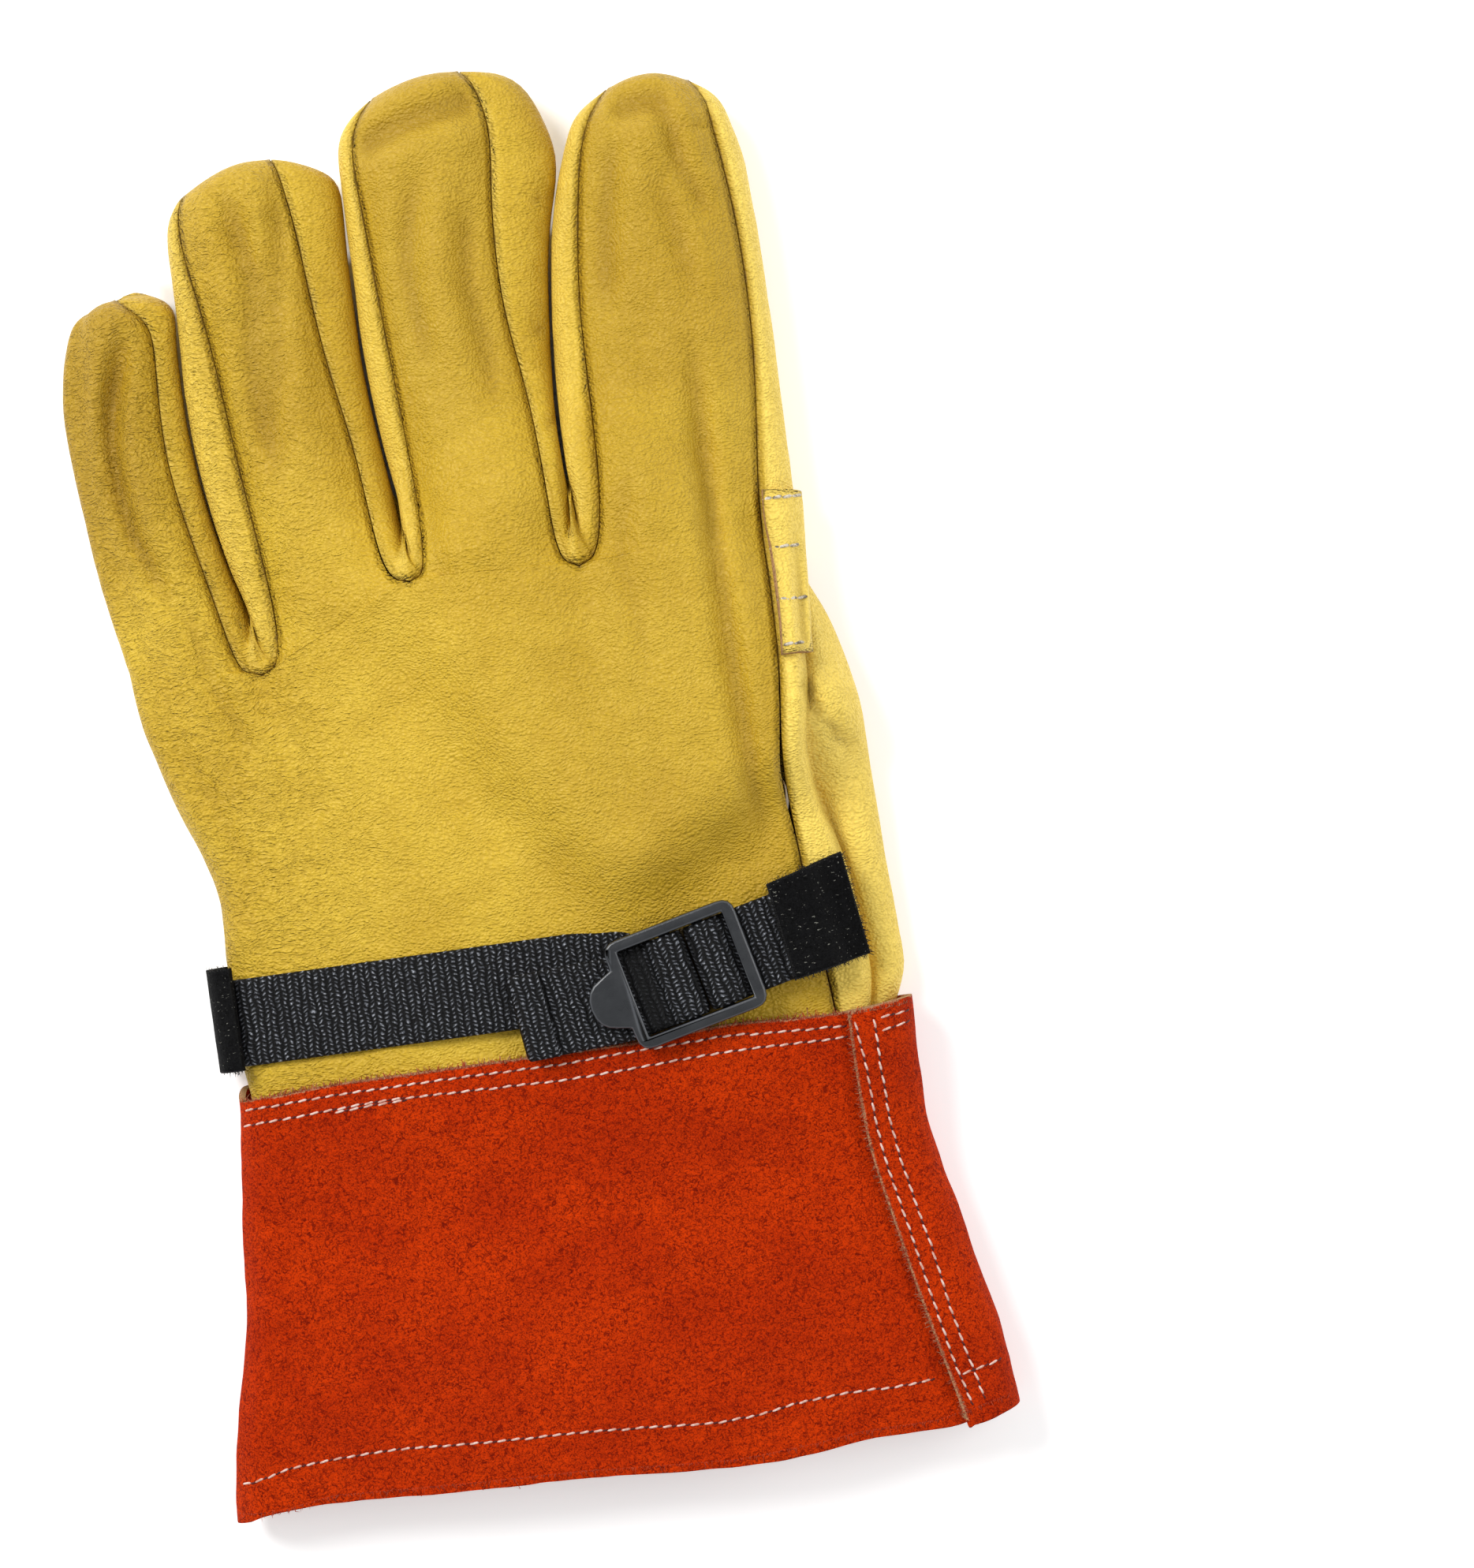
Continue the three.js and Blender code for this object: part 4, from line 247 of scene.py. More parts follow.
# The buckle's rounded edges.
BUCKLE_ROUND = 0.62
BUCKLE_STEPS = 4
BUCKLE_EDGE_ANGLE = math.radians(35)

# The webbing's knots, its steps along and across, and how square its section is.
KNOT_ALONG = 1.45
KNOT_ACROSS = 0.95
BAND_STEP = 0.7
BAND_ACROSS = 26
BAND_SQUARENESS = 14

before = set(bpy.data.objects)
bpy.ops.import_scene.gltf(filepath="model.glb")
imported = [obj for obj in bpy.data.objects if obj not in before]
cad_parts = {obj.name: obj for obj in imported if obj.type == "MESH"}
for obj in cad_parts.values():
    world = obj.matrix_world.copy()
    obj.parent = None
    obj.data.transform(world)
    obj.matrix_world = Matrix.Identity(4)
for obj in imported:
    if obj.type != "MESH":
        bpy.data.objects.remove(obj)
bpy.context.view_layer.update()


def plan_to_frame(x, y):
    return x + PLAN_ZERO[0], y + PLAN_ZERO[1]


def ramp(values, low, high):
    """Goes from 0 at low to 1 at high and stays level beyond them, for arrays."""
    return np.clip((values - low) / (high - low), 0, 1)


# Materials.

class Nodes:
    """A small helper that adds nodes to a material and links them."""

    def __init__(self, name):
        self.material = bpy.data.materials.new(name)
        self.material.use_nodes = True
        self.tree = self.material.node_tree
        self.shader = self.tree.nodes["Principled BSDF"]

    def add(self, kind, settings=None, **inputs):
        node = self.tree.nodes.new(kind)
        for key, value in (settings or {}).items():
            setattr(node, key, value)
        for key, value in inputs.items():
            self.feed(node, key, value)
        return node

    def feed(self, node, key, value):
        """Sets or links one input, given by its label or, as in i0, by its number."""
        if key[0] == "i" and key[1:].isdigit():
            socket = node.inputs[int(key[1:])]
        else:
            socket = node.inputs[key.replace("_", " ")]
        if isinstance(value, bpy.types.NodeSocket):
            self.tree.links.new(value, socket)
        else:
            socket.default_value = value

    def math(self, operation, a, b=0.0, c=0.0):
        return self.add("ShaderNodeMath", {"operation": operation}, i0=a, i1=b, i2=c).outputs[0]

    def stretch(self, place, x, y, z):
        """A place with each of its coordinates scaled."""
        return self.add("ShaderNodeVectorMath", {"operation": "MULTIPLY"}, i0=place, i1=(x, y, z)).outputs[0]

    def mm(self, x=1, y=1, z=1):
        """Object coordinates in mm, each scaled."""
        place = self.add("ShaderNodeTexCoord").outputs["Object"]
        return self.stretch(place, x / MM, y / MM, z / MM)

    def split(self, place):
        return self.add("ShaderNodeSeparateXYZ", None, i0=place).outputs

    def noise(self, place, scale, detail=2.0, roughness=0.5, distortion=0.0):
        settings = {"Scale": scale, "Detail": detail, "Roughness": roughness, "Distortion": distortion}
        return self.add("ShaderNodeTexNoise", None, Vector=place, **settings).outputs["Fac"]

    def span(self, value, low, high, to_low=0.0, to_high=1.0, smooth=True):
        kind = "SMOOTHSTEP" if smooth else "LINEAR"
        node = self.add("ShaderNodeMapRange", {"interpolation_type": kind}, Value=value)
        for key, number in (("From Min", low), ("From Max", high), ("To Min", to_low), ("To Max", to_high)):
            node.inputs[key].default_value = number
        return node.outputs[0]

    def mix(self, share, a, b):
        node = self.add("ShaderNodeMix", {"data_type": "RGBA"})
        self.feed(node, "i0", share)
        self.feed(node, "i6", a)
        self.feed(node, "i7", b)
        return node.outputs[2]

    def attribute(self, name):
        return self.add("ShaderNodeAttribute", {"attribute_name": name}).outputs["Fac"]

    def bump(self, height, distance, strength=1.0, before=None):
        node = self.add("ShaderNodeBump", None, Height=height, Distance=distance * MM, Strength=strength)
        if before is not None:
            self.feed(node, "Normal", before)
        return node.outputs[0]

    def set(self, **inputs):
        for key, value in inputs.items():
            self.feed(self.shader, key, value)
        return self.material


def rgb(red, green, blue):
    """A colour from its screen values, as Blender's linear colour."""
    linear = [((c / 255 + 0.055) / 1.055) ** 2.4 if c > 10 else c / 255 / 12.92 for c in (red, green, blue)]
    return (*linear, 1.0)


# Depth of the suede's nap and width of its raw cut along a rim, and colours for the functions below.
NAP = 0.3
RAW_WIDTH = 0.55
RAW_EDGE = rgb(196, 152, 112)
SEAM_LINE = rgb(104, 74, 28)
LEATHER_IN_SHADOW = rgb(18, 15, 8)
LINT = rgb(150, 150, 140)
# The webbing's painted shade, its own grey and its painted glints.
WEBBING_PAINTED_SHADE = rgb(3, 3, 4)
WEBBING_MIDDLE = rgb(88, 91, 98)
WEBBING_PAINTED_GLINT = rgb(186, 190, 198)


def leather_material(name, light, dark, painted_deep_shade, pale, painted_shade):
    """Smooth grain leather: short wavy wrinkles, soft broad tones, and dark seams where two pieces meet, with
    painted light and painted shade.
    """
    n = Nodes(name)
    place = n.mm()
    drift = n.add("ShaderNodeTexNoise", None, Vector=place, Scale=0.12, Detail=2.0).outputs["Color"]
    sway = {"i0": drift, "i1": (3.5, 3.5, 3.5), "i2": place}
    moved = n.add("ShaderNodeVectorMath", {"operation": "MULTIPLY_ADD"}, **sway).outputs[0]
    flow = n.stretch(moved, 0.75, 1.2, 1.0)
    pebble = n.add("ShaderNodeTexVoronoi", {"feature": "SMOOTH_F1"}, Vector=flow, Scale=1.7, Smoothness=0.5,
                   Randomness=1.0).outputs["Distance"]
    fine = n.noise(flow, 3.0, 3.0, 0.6)
    fold = n.noise(n.stretch(moved, 0.22, 0.8, 0.5), 1.0)
    crease = n.math("ABSOLUTE", n.math("SUBTRACT", fold, 0.5))
    crease = n.span(crease, 0.0, 0.075, 1.0, 0.0)
    creased = n.math("MULTIPLY", crease, n.span(n.split(place)[0], -16.0, -62.0, 0.0, 0.6))
    broad = n.noise(place, 0.03, 3.0, 0.55)
    middle = n.noise(place, 0.16, 4.0, 0.6)
    crevice = n.span(pebble, 0.34, 0.75)
    colour = n.mix(n.span(broad, 0.3, 0.7), light, dark)
    colour = n.mix(n.math("MULTIPLY", n.span(middle, 0.44, 0.72), 0.3), colour, dark)
    tone = n.attribute("tone")
    # Painted light and painted shade from the tone attribute.
    colour = n.mix(n.span(tone, 0.0, 1.0, smooth=False), colour, pale)
    colour = n.mix(n.span(tone, 0.0, -1.0, smooth=False), colour, painted_shade)
    # Painted shade in the grain's crevices and wrinkles.
    colour = n.mix(n.math("MULTIPLY", crevice, 0.2), colour, painted_deep_shade)
    colour = n.mix(n.math("MULTIPLY", creased, 0.2), colour, painted_deep_shade)
    # Painted shade in the grooves.
    colour = n.mix(n.span(n.attribute("painted_groove_shade"), 0.1, 2.2, 0.0, 0.34), colour, painted_deep_shade)
    seam = n.attribute("seam")
    # Painted shade beside a seam, then the dark seam line itself.
    colour = n.mix(n.span(seam, 0.3, 2.0, 0.2, 0.0), colour, painted_deep_shade)
    colour = n.mix(n.span(seam, 0.03, 0.3, 0.7, 0.0), colour, SEAM_LINE)
    # Painted shadow in the buckle's opening.
    colour = n.mix(n.math("MULTIPLY", n.attribute("well"), 0.93), colour, LEATHER_IN_SHADOW)
    normal = n.bump(n.span(seam, 0.0, 1.6), 0.6)
    normal = n.bump(middle, 0.7, 1.0, normal)
    normal = n.bump(n.math("SUBTRACT", 1.0, pebble), 0.36, 1.0, normal)
    normal = n.bump(n.math("SUBTRACT", 1.0, creased), 0.24, 1.0, normal)
    normal = n.bump(fine, 0.1, 1.0, normal)
    rough = n.span(crevice, 0.0, 1.0, 0.45, 0.62)
    return n.set(Base_Color=colour, Normal=normal, Roughness=rough, Specular_IOR_Level=0.35)


def suede_material(name, light, dark, speck, edge=RAW_EDGE, nap=NAP, lint=0.0):
    """Napped suede: curls of nap with painted shade between them, and the raw cut along its rims."""
    n = Nodes(name)
    place = n.mm()
    broad = n.noise(place, 0.045, 3.0, 0.6)
    spots = n.noise(place, 0.3, 4.0, 0.65)
    curls = n.noise(place, 0.95, 3.0, 0.65, 1.6)
    fuzz = n.noise(place, 2.4, 4.0, 0.75)
    colour = n.mix(n.span(broad, 0.36, 0.66, 0.0, 0.6), light, dark)
    colour = n.mix(n.math("MULTIPLY", n.span(spots, 0.42, 0.7), 0.3), colour, dark)
    # Painted shade between the nap's curls.
    colour = n.mix(n.span(curls, 0.53, 0.33, 0.0, 0.9), colour, speck)
    colour = n.mix(n.span(fuzz, 0.5, 0.62, 0.0, 0.7), colour, speck)
    if lint:
        fleck = n.noise(n.mm(1, 2.2, 1), 1.3, 1.0, 0.3, 0.8)
        colour = n.mix(n.span(fleck, 0.72, 0.76, 0.0, lint), colour, LINT)
    ragged = n.math("MULTIPLY_ADD", n.math("SUBTRACT", fuzz, 0.5), 1.6, n.attribute("seam"))
    colour = n.mix(n.span(ragged, RAW_WIDTH * 0.3, RAW_WIDTH, 0.9, 0.0), colour, edge)
    normal = n.bump(spots, 0.5)
    normal = n.bump(curls, nap * 2, 1.0, normal)
    normal = n.bump(fuzz, nap * 0.6, 1.0, normal)
    return n.set(Base_Color=colour, Normal=normal, Roughness=0.95, Specular_IOR_Level=0.1)


def webbing_material():
    """Heavy nylon webbing: rows of knots across the band, slanting one way and then the other, with painted
    light and shade on its knots.
    """
    n = Nodes("woven_webbing")
    place = n.mm()
    band = n.split(n.add("ShaderNodeUVMap").outputs[0])
    along = n.math("MULTIPLY_ADD", n.noise(place, 0.35), 1.6, band[0])
    across = n.math("MULTIPLY_ADD", n.noise(place, 0.9), 1.2, band[1])
    rib = n.math("DIVIDE", along, KNOT_ALONG)
    index = n.math("FLOOR", rib)
    within = n.math("SUBTRACT", rib, index)
    odd = n.math("MODULO", index, 2.0)
    slant = n.math("SUBTRACT", n.math("MULTIPLY", odd, 2.0), 1.0)
    lean = n.math("MULTIPLY", n.math("SUBTRACT", within, 0.5), n.math("MULTIPLY", slant, 0.8))
    offset = n.math("MULTIPLY", odd, 0.5)
    phase = n.math("ADD", n.math("ADD", lean, offset), n.math("DIVIDE", across, KNOT_ACROSS))
    knot = n.math("ABSOLUTE", n.math("SINE", n.math("MULTIPLY", phase, math.pi)))
    ridge = n.math("SINE", n.math("MULTIPLY", within, math.pi))
    height = n.math("MULTIPLY", n.math("POWER", ridge, 0.6), n.math("POWER", knot, 0.7))
    strands = n.math("SINE", n.math("MULTIPLY", phase, 8 * math.pi))
    fuzz = n.noise(place, 3.0, 3.0, 0.7)
    # Painted light on the knots' tops, painted shade between them and painted glints on the highest.
    painted_knot_light = n.math("MULTIPLY_ADD", n.math("SUBTRACT", fuzz, 0.5), 0.9, height)
    colour = n.mix(n.span(painted_knot_light, 0.55, 0.97), WEBBING_PAINTED_SHADE, WEBBING_MIDDLE)
    colour = n.mix(n.span(painted_knot_light, 0.88, 1.1, 0.0, 0.95), colour, WEBBING_PAINTED_GLINT)
    # Painted shadow in the buckle's opening.
    colour = n.mix(n.math("MULTIPLY", n.attribute("well"), 0.95), colour, WEBBING_PAINTED_SHADE)
    normal = n.bump(height, 0.9)
    normal = n.bump(strands, 0.04, 1.0, normal)
    return n.set(Base_Color=colour, Normal=normal, Roughness=0.6, Specular_IOR_Level=0.3)


def plastic_material():
    """Black plastic with a painted highlight on its rounded edges and painted shade on its sides."""
    n = Nodes("moulded_plastic")
    place = n.mm()
    speck = n.noise(place, 2.0, 3.0, 0.6)
    worn = n.noise(place, 0.12, 3.0, 0.6)
    upward = n.split(n.add("ShaderNodeNewGeometry").outputs["Normal"])[2]
    colour = n.mix(n.span(worn, 0.35, 0.7), rgb(40, 42, 45), rgb(48, 50, 53))
    # Painted shade on the sides that face away from the top.
    colour = n.mix(n.span(upward, 0.7, 0.1), colour, rgb(9, 9, 10))
    # A painted highlight on the rounded edges.
    painted_edge_highlight = n.math("MULTIPLY", n.span(upward, 0.45, 0.75), n.span(upward, 0.99, 0.86))
    colour = n.mix(n.math("MULTIPLY", painted_edge_highlight, 0.5), colour, rgb(100, 103, 108))
    normal = n.bump(speck, 0.05)
    return n.set(Base_Color=colour, Normal=normal, Roughness=n.span(worn, 0.3, 0.7, 0.24, 0.36))


def thread_material(name, light, dark):
    """Spun thread or loose fibre, in two tones."""
    n = Nodes(name)
    place = n.mm()
    tone = n.noise(place, 0.6, 3.0, 0.7)
    fibre = n.noise(place, 4.0, 2.0, 0.6)
    colour = n.mix(n.span(tone, 0.38, 0.66), light, dark)
    normal = n.bump(fibre, 0.12)
    return n.set(Base_Color=colour, Normal=normal, Roughness=0.7)


def floor_material():
    """A pale matt floor that glows a little, except under the glove."""
    n = Nodes("pale_floor")
    place = n.mm()
    tone = n.noise(place, 0.004, 2.0)
    colour = n.mix(n.math("MULTIPLY", tone, 0.02), (0.95, 0.95, 0.95, 1), (0.9, 0.9, 0.9, 1))
    outside = 0.0
    for axis, coordinate in zip("xy", n.split(place)):
        away = n.math("ABSOLUTE", n.math("SUBTRACT", coordinate, UNDER_GLOVE[axis]))
        half = UNDER_GLOVE["half_" + axis]
        outside = n.math("MAXIMUM", outside, n.span(away, half, half + GLOW_EDGE))
    glow = n.math("MULTIPLY", outside, GLOW)
    return n.set(Base_Color=colour, Roughness=0.9, Emission_Color=(1, 1, 1, 1), Emission_Strength=glow)


# Colours of the painted light and the painted shade on the leather.
PAINTED_LIGHT_LEATHER = rgb(255, 222, 100)
PAINTED_SHADE_LEATHER = rgb(178, 140, 27)
MATERIALS = {
    "grain": leather_material("golden_grain_leather", rgb(222, 186, 53), rgb(206, 168, 39), rgb(122, 86, 12),
                              PAINTED_LIGHT_LEATHER, PAINTED_SHADE_LEATHER),
    "patch": leather_material("patch_grain_leather", rgb(240, 206, 84), rgb(228, 192, 70), rgb(156, 118, 30),
                              PAINTED_LIGHT_LEATHER, PAINTED_SHADE_LEATHER),
    "raw": suede_material("raw_leather_edge", rgb(190, 150, 104), rgb(158, 120, 78), rgb(120, 90, 58),
                          nap=0.15),
    "orange": suede_material("orange_red_suede", rgb(222, 62, 0), rgb(190, 44, 0), rgb(116, 16, 0)),
    "black": suede_material("black_suede_leather", rgb(24, 24, 25), rgb(15, 15, 16), rgb(8, 8, 8),
                            rgb(30, 30, 30), lint=0.8),
    "orange_fibre": thread_material("orange_fibre", rgb(200, 70, 20), rgb(150, 40, 8)),
    "tan_fibre": thread_material("tan_fibre", rgb(196, 140, 104), rgb(160, 80, 44)),
    "black_fibre": thread_material("black_fibre", rgb(26, 26, 27), rgb(12, 12, 12)),
    # Painted shade in the needle holes.
    "painted_hole_shade": thread_material("painted_stitch_hole_shade", rgb(92, 16, 6), rgb(60, 8, 2)),
    "webbing": webbing_material(),
    "plastic": plastic_material(),
    "cuff_thread": thread_material("pale_thread", rgb(236, 208, 196), rgb(206, 150, 130)),
    "patch_thread": thread_material("twisted_thread", rgb(226, 216, 196), rgb(96, 84, 66)),
    "floor": floor_material(),
}


# Mesh helpers.

def add_object(name, mesh, *materials):
    obj = bpy.data.objects.new(name, mesh)
    bpy.context.scene.collection.objects.link(obj)
    for key in materials:
        mesh.materials.append(MATERIALS[key])
    return obj


def coordinates(mesh):
    values = np.empty(len(mesh.vertices) * 3)
    mesh.vertices.foreach_get("co", values)
    return values.reshape(-1, 3)


def set_coordinates(mesh, values):
    mesh.vertices.foreach_set("co", values.ravel())
    mesh.update()


def plan_places(mesh):
    """Each point's place in plan and its height, in mm."""
    places = coordinates(mesh) / MM
    return places[:, 0] - PLAN_ZERO[0], places[:, 1] - PLAN_ZERO[1], places[:, 2]


def store(mesh, name, values):
    """Keeps a number for each point, for a material to read."""
    mesh.attributes.new(name, "FLOAT", "POINT").data.foreach_set("value", values)


def is_rim_edge(edge):
    if len(edge.link_faces) != 2 or edge.calc_face_angle() < RIM_ANGLE:
        return False
    shortest = min(e.calc_length() for face in edge.link_faces for e in face.edges)
    return shortest < THIN * MM


def is_rim_face(face, rims):
    """A rim face is thin and has two opposite rim edges."""
    found = [edge for edge in face.edges if edge in rims]
    opposite = any(not set(a.verts) & set(b.verts) for a in found for b in found)
    return opposite and min(edge.calc_length() for edge in face.edges) < THIN * MM


def joined_faces(node, shape_angle):
    """A CAD node with its points welded and its triangles joined to quads."""
    bm = bmesh.new()
    bm.from_mesh(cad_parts[node].data)
    bmesh.ops.remove_doubles(bm, verts=bm.verts, dist=WELD * MM)
    bmesh.ops.join_triangles(bm, faces=bm.faces, angle_face_threshold=JOIN_ANGLE,
                             angle_shape_threshold=shape_angle)
    return bm


def quad_mesh(node):
    """The CAD node as quads, its rim edges creased and its rim faces marked, and the rim's own lines."""
    bm = joined_faces(node, JOIN_SHAPE)
    crease = bm.edges.layers.float.new("crease_edge")
    sharp = {edge for edge in bm.edges if is_rim_edge(edge)}
    rim_faces = {face for face in bm.faces if is_rim_face(face, sharp)}
    rims = [edge for edge in sharp if rim_faces & set(edge.link_faces)]
    lines = []
    for edge in rims:
        edge[crease] = 1.0
        lines.append((edge.verts[0].co.copy(), edge.verts[1].co.copy()))
    for face in bm.faces:
        face.smooth = True
        face.material_index = int(face in rim_faces)
    mesh = bpy.data.meshes.new(node + "_quads")
    bm.to_mesh(mesh)
    bm.free()
    return mesh, lines


def evaluated_mesh(obj):
    graph = bpy.context.evaluated_depsgraph_get()
    return bpy.data.meshes.new_from_object(obj.evaluated_get(graph), depsgraph=graph)


def smooth_copy(node, name, levels, *materials):
    """A smooth copy of a CAD node that passes through the node's own points."""
    mesh, lines = quad_mesh(node)
    obj = add_object(name, mesh)
    modifier = obj.modifiers.new("smooth", "SUBSURF")
    modifier.levels = 1
    modifier.boundary_smooth = "PRESERVE_CORNERS"
    target = coordinates(mesh)
    current = target.copy()
    for _ in range(FIT_ROUNDS):
        set_coordinates(mesh, current)
        reached = evaluated_mesh(obj)
        current += target - coordinates(reached)[: len(target)]
        bpy.data.meshes.remove(reached)
    set_coordinates(mesh, current)
    modifier.levels = levels
    final = evaluated_mesh(obj)
    obj.modifiers.clear()
    obj.data = final
    bpy.data.meshes.remove(mesh)
    for key in materials:
        final.materials.append(MATERIALS[key])
    if len(materials) == 1:
        final.polygons.foreach_set("material_index", [0] * len(final.polygons))
    store_seam(final, lines)
    return obj


def store_seam(mesh, lines):
    """Keeps each point's distance from the nearest rim, in mm."""
    places = []
    for start, end in lines:
        steps = max(1, round((end - start).length / (BORDER_STEP * MM)))
        places.extend(start.lerp(end, k / steps) for k in range(steps + 1))
    tree = KDTree(len(places))
    for i, place in enumerate(places):
        tree.insert(place, i)
    tree.balance()
    store(mesh, "seam", [tree.find(vertex.co)[2] / MM for vertex in mesh.vertices])


def surface_of(obj):
    mesh = obj.data
    return BVHTree.FromPolygons([v.co for v in mesh.vertices], [p.vertices for p in mesh.polygons])


def on_surface(tree, x, y, from_below=False):
    """The highest or lowest place of a surface above a plan place, and its normal, which points out."""
    fx, fy = plan_to_frame(x, y)
    height = RAY_BELOW if from_below else RAY_ABOVE
    ray = Vector((0, 0, 1 if from_below else -1))
    place, normal, _, _ = tree.ray_cast(Vector((fx * MM, fy * MM, height * MM)), ray)
    if place is None:
        return None
    return place, -normal if normal.dot(ray) > 0 else normal


def polyline_places(line, step):
    """Evenly spaced places along a line in plan."""
    points = [np.array(p, float) for p in line]
    lengths = [np.linalg.norm(b - a) for a, b in zip(points, points[1:])]
    total = sum(lengths)
    count = max(1, int(total / step))
    found = []
    for k in range(count + 1):
        rest = total * k / count
        i = 0
        while i < len(lengths) - 1 and rest > lengths[i]:
            rest -= lengths[i]
            i += 1
        found.append(points[i] + (points[i + 1] - points[i]) * min(1, rest / lengths[i]))
    return found


def skin_rings(bm, rings):
    """Closes rings of points to a rod."""
    sides = len(rings[0])
    for lower, upper in zip(rings, rings[1:]):
        for k in range(sides):
            after = (k + 1) % sides
            bm.faces.new((lower[k], lower[after], upper[after], upper[k]))
    bm.faces.new(list(reversed(rings[0])))
    bm.faces.new(rings[-1])


# Stitches.

def add_stitch(bm, start, end, up, radius, rise, least):
    """One stitch of two twisted plies: a round-ended grain whose ends dip in the leather."""
    run = end - start
    side = run.normalized().cross(up).normalized()
    rings = []
    for i in range(STITCH_RINGS):
        t = i / (STITCH_RINGS - 1)
        bulge = math.sin(math.pi * (STITCH_END + (1 - 2 * STITCH_END) * t)) ** 0.5
        centre = start + run * t + up * radius * (STITCH_ARCH * bulge - STITCH_DIP + rise)
        ring = []
        for k in range(STITCH_SIDES):
            angle = 2 * math.pi * k / STITCH_SIDES
            twist = 1 + PLY_SWELL * math.cos(2 * angle - PLY_TURN * t)
            offset = side * math.cos(angle) * twist + up * math.sin(angle) * STITCH_FLAT * twist
            corner = centre + offset * radius * bulge
            corner.z = max(corner.z, least)
            ring.append(bm.verts.new(corner))
        rings.append(ring)
    skin_rings(bm, rings)


def stitch_piece(name, rows, tree, size, thread, from_below=False):
    """Rows of stitches on a surface. Each has its own small shift, and all slant the same way."""
    bm = bmesh.new()
    share = size["length"] / size["pitch"]
    least = size["least"] * MM
    for row, line in enumerate(rows):
        places = polyline_places(line, size["pitch"])
        for k, (a, b) in enumerate(zip(places, places[1:])):
            shift = noise.noise(Vector((row * WANDER_STEPS[0], k * WANDER_STEPS[1], 0.5))) * STITCH_WANDER
            low = a + (b - a) * (0.5 - share / 2 + size["offset"])
            high = a + (b - a) * (0.5 + share / 2 + size["offset"])
            across = np.array([-(b - a)[1], (b - a)[0]]) / np.linalg.norm(b - a)
            first = on_surface(tree, *(low + across * (shift - STITCH_SLANT)), from_below)
            last = on_surface(tree, *(high + across * (shift + STITCH_SLANT)), from_below)
            if first and last:
                up = (first[1] + last[1]).normalized()
                add_stitch(bm, first[0], last[0], up, size["radius"] * MM, size["rise"], least)
    return finish_mesh(bm, name, thread)


def finish_mesh(bm, name, material):
    """Makes a smooth piece of the part from a mesh in the making."""
    bmesh.ops.recalc_face_normals(bm, faces=bm.faces)
    mesh = bpy.data.meshes.new(name)
    bm.to_mesh(mesh)
    bm.free()
    mesh.polygons.foreach_set("use_smooth", [True] * len(mesh.polygons))
    obj = add_object(name, mesh, material)
    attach(obj, "root")
    return obj


# Loose fibres along cut edges.

def fringe_piece(name, lines, tree, spec, material):
    """Short loose fibres along cut edges: each line comes with the side that its fibres point to."""
    bm = bmesh.new()
    seed = random.Random(name)
    for line, away in lines:
        places = polyline_places(line, spec["spacing"])
        for a, b in zip(places, places[1:]):
            start = a + (b - a) * seed.random() - np.array(away) * spec["inset"]
            found = on_surface(tree, *start)
            if not found:
                continue
            turn = math.atan2(away[1], away[0]) + seed.gauss(0, FIBRE_TURN)
            reach = spec["length"] * (FIBRE_SHORTEST + seed.random() ** 2) * MM
            run = Vector((math.cos(turn), math.sin(turn), seed.uniform(*FIBRE_RISE))) * reach
            bend_x = seed.gauss(0, FIBRE_BEND)
            bend_y = seed.gauss(0, FIBRE_BEND)
            bend = Vector((bend_x, bend_y, seed.uniform(*FIBRE_BEND_UP))) * reach
            add_fibre(bm, found[0], run, bend, spec["radius"] * MM)
    return finish_mesh(bm, name, material)


def add_fibre(bm, start, run, bend, radius):
    """One bent fibre of three sides, which gets thinner to its tip."""
    side = run.cross(Vector((0, 0, 1))).normalized()
    up = side.cross(run).normalized()
    rings = []
    for t, width in FIBRE_RINGS:
        centre = start + run * t + bend * math.sin(math.pi * t)
        rings.append([bm.verts.new(centre + (side * a + up * b) * radius * width) for a, b in FIBRE_CORNERS])
    skin_rings(bm, rings)


# The leather.

def groove_depth(x, y):
    """Depth of the grooves at arrays of plan places."""
    depth = np.zeros_like(x)
    for groove in GROOVES:
        line = groove["line"]
        near = np.full_like(x, np.inf)
        fade = np.ones_like(x)
        whole = sum(math.dist(a, b) for a, b in zip(line, line[1:]))
        run = 0.0
        for (ax, ay), (bx, by) in zip(line, line[1:]):
            length = math.dist((ax, ay), (bx, by))
            t = np.clip(((x - ax) * (bx - ax) + (y - ay) * (by - ay)) / length**2, 0, 1)
            away = np.hypot(x - ax - t * (bx - ax), y - ay - t * (by - ay))
            place = (run + t * length) / whole
            closer = away < near
            near = np.where(closer, away, near)
            end = ramp(np.minimum(place, 1 - place), 0, GROOVE_END)
            fade = np.where(closer, end * end * (3 - 2 * end), fade)
            run += length
        across = near / groove["width"]
        shape = np.exp(-(across**2)) - LIP_SHARE * np.exp(-((across - LIP_PLACE) ** 2))
        depth += groove["depth"] * GROOVE_GAIN * fade * shape
    return depth


def painted_light_and_shade(x, y, z):
    """How much painted light, above 0, or painted shade, below 0, the leather gets at arrays of places."""
    seam_x = np.interp(y, [row[0] for row in OUTER_SEAM], [row[1] for row in OUTER_SEAM])
    pale = ramp(x - seam_x, *PAINTED_LIGHT_BESIDE) * ramp(z, *PAINTED_LIGHT_ABOVE)
    dark = np.zeros_like(x)
    for zone in PAINTED_SHADE_ZONES:
        share = np.full_like(x, zone["share"])
        for axis, values in (("x", x), ("y", y), ("z", z)):
            if axis in zone:
                share *= ramp(values, *zone[axis])
        dark = np.maximum(dark, share)
    return np.where(pale > 0, pale, -dark)


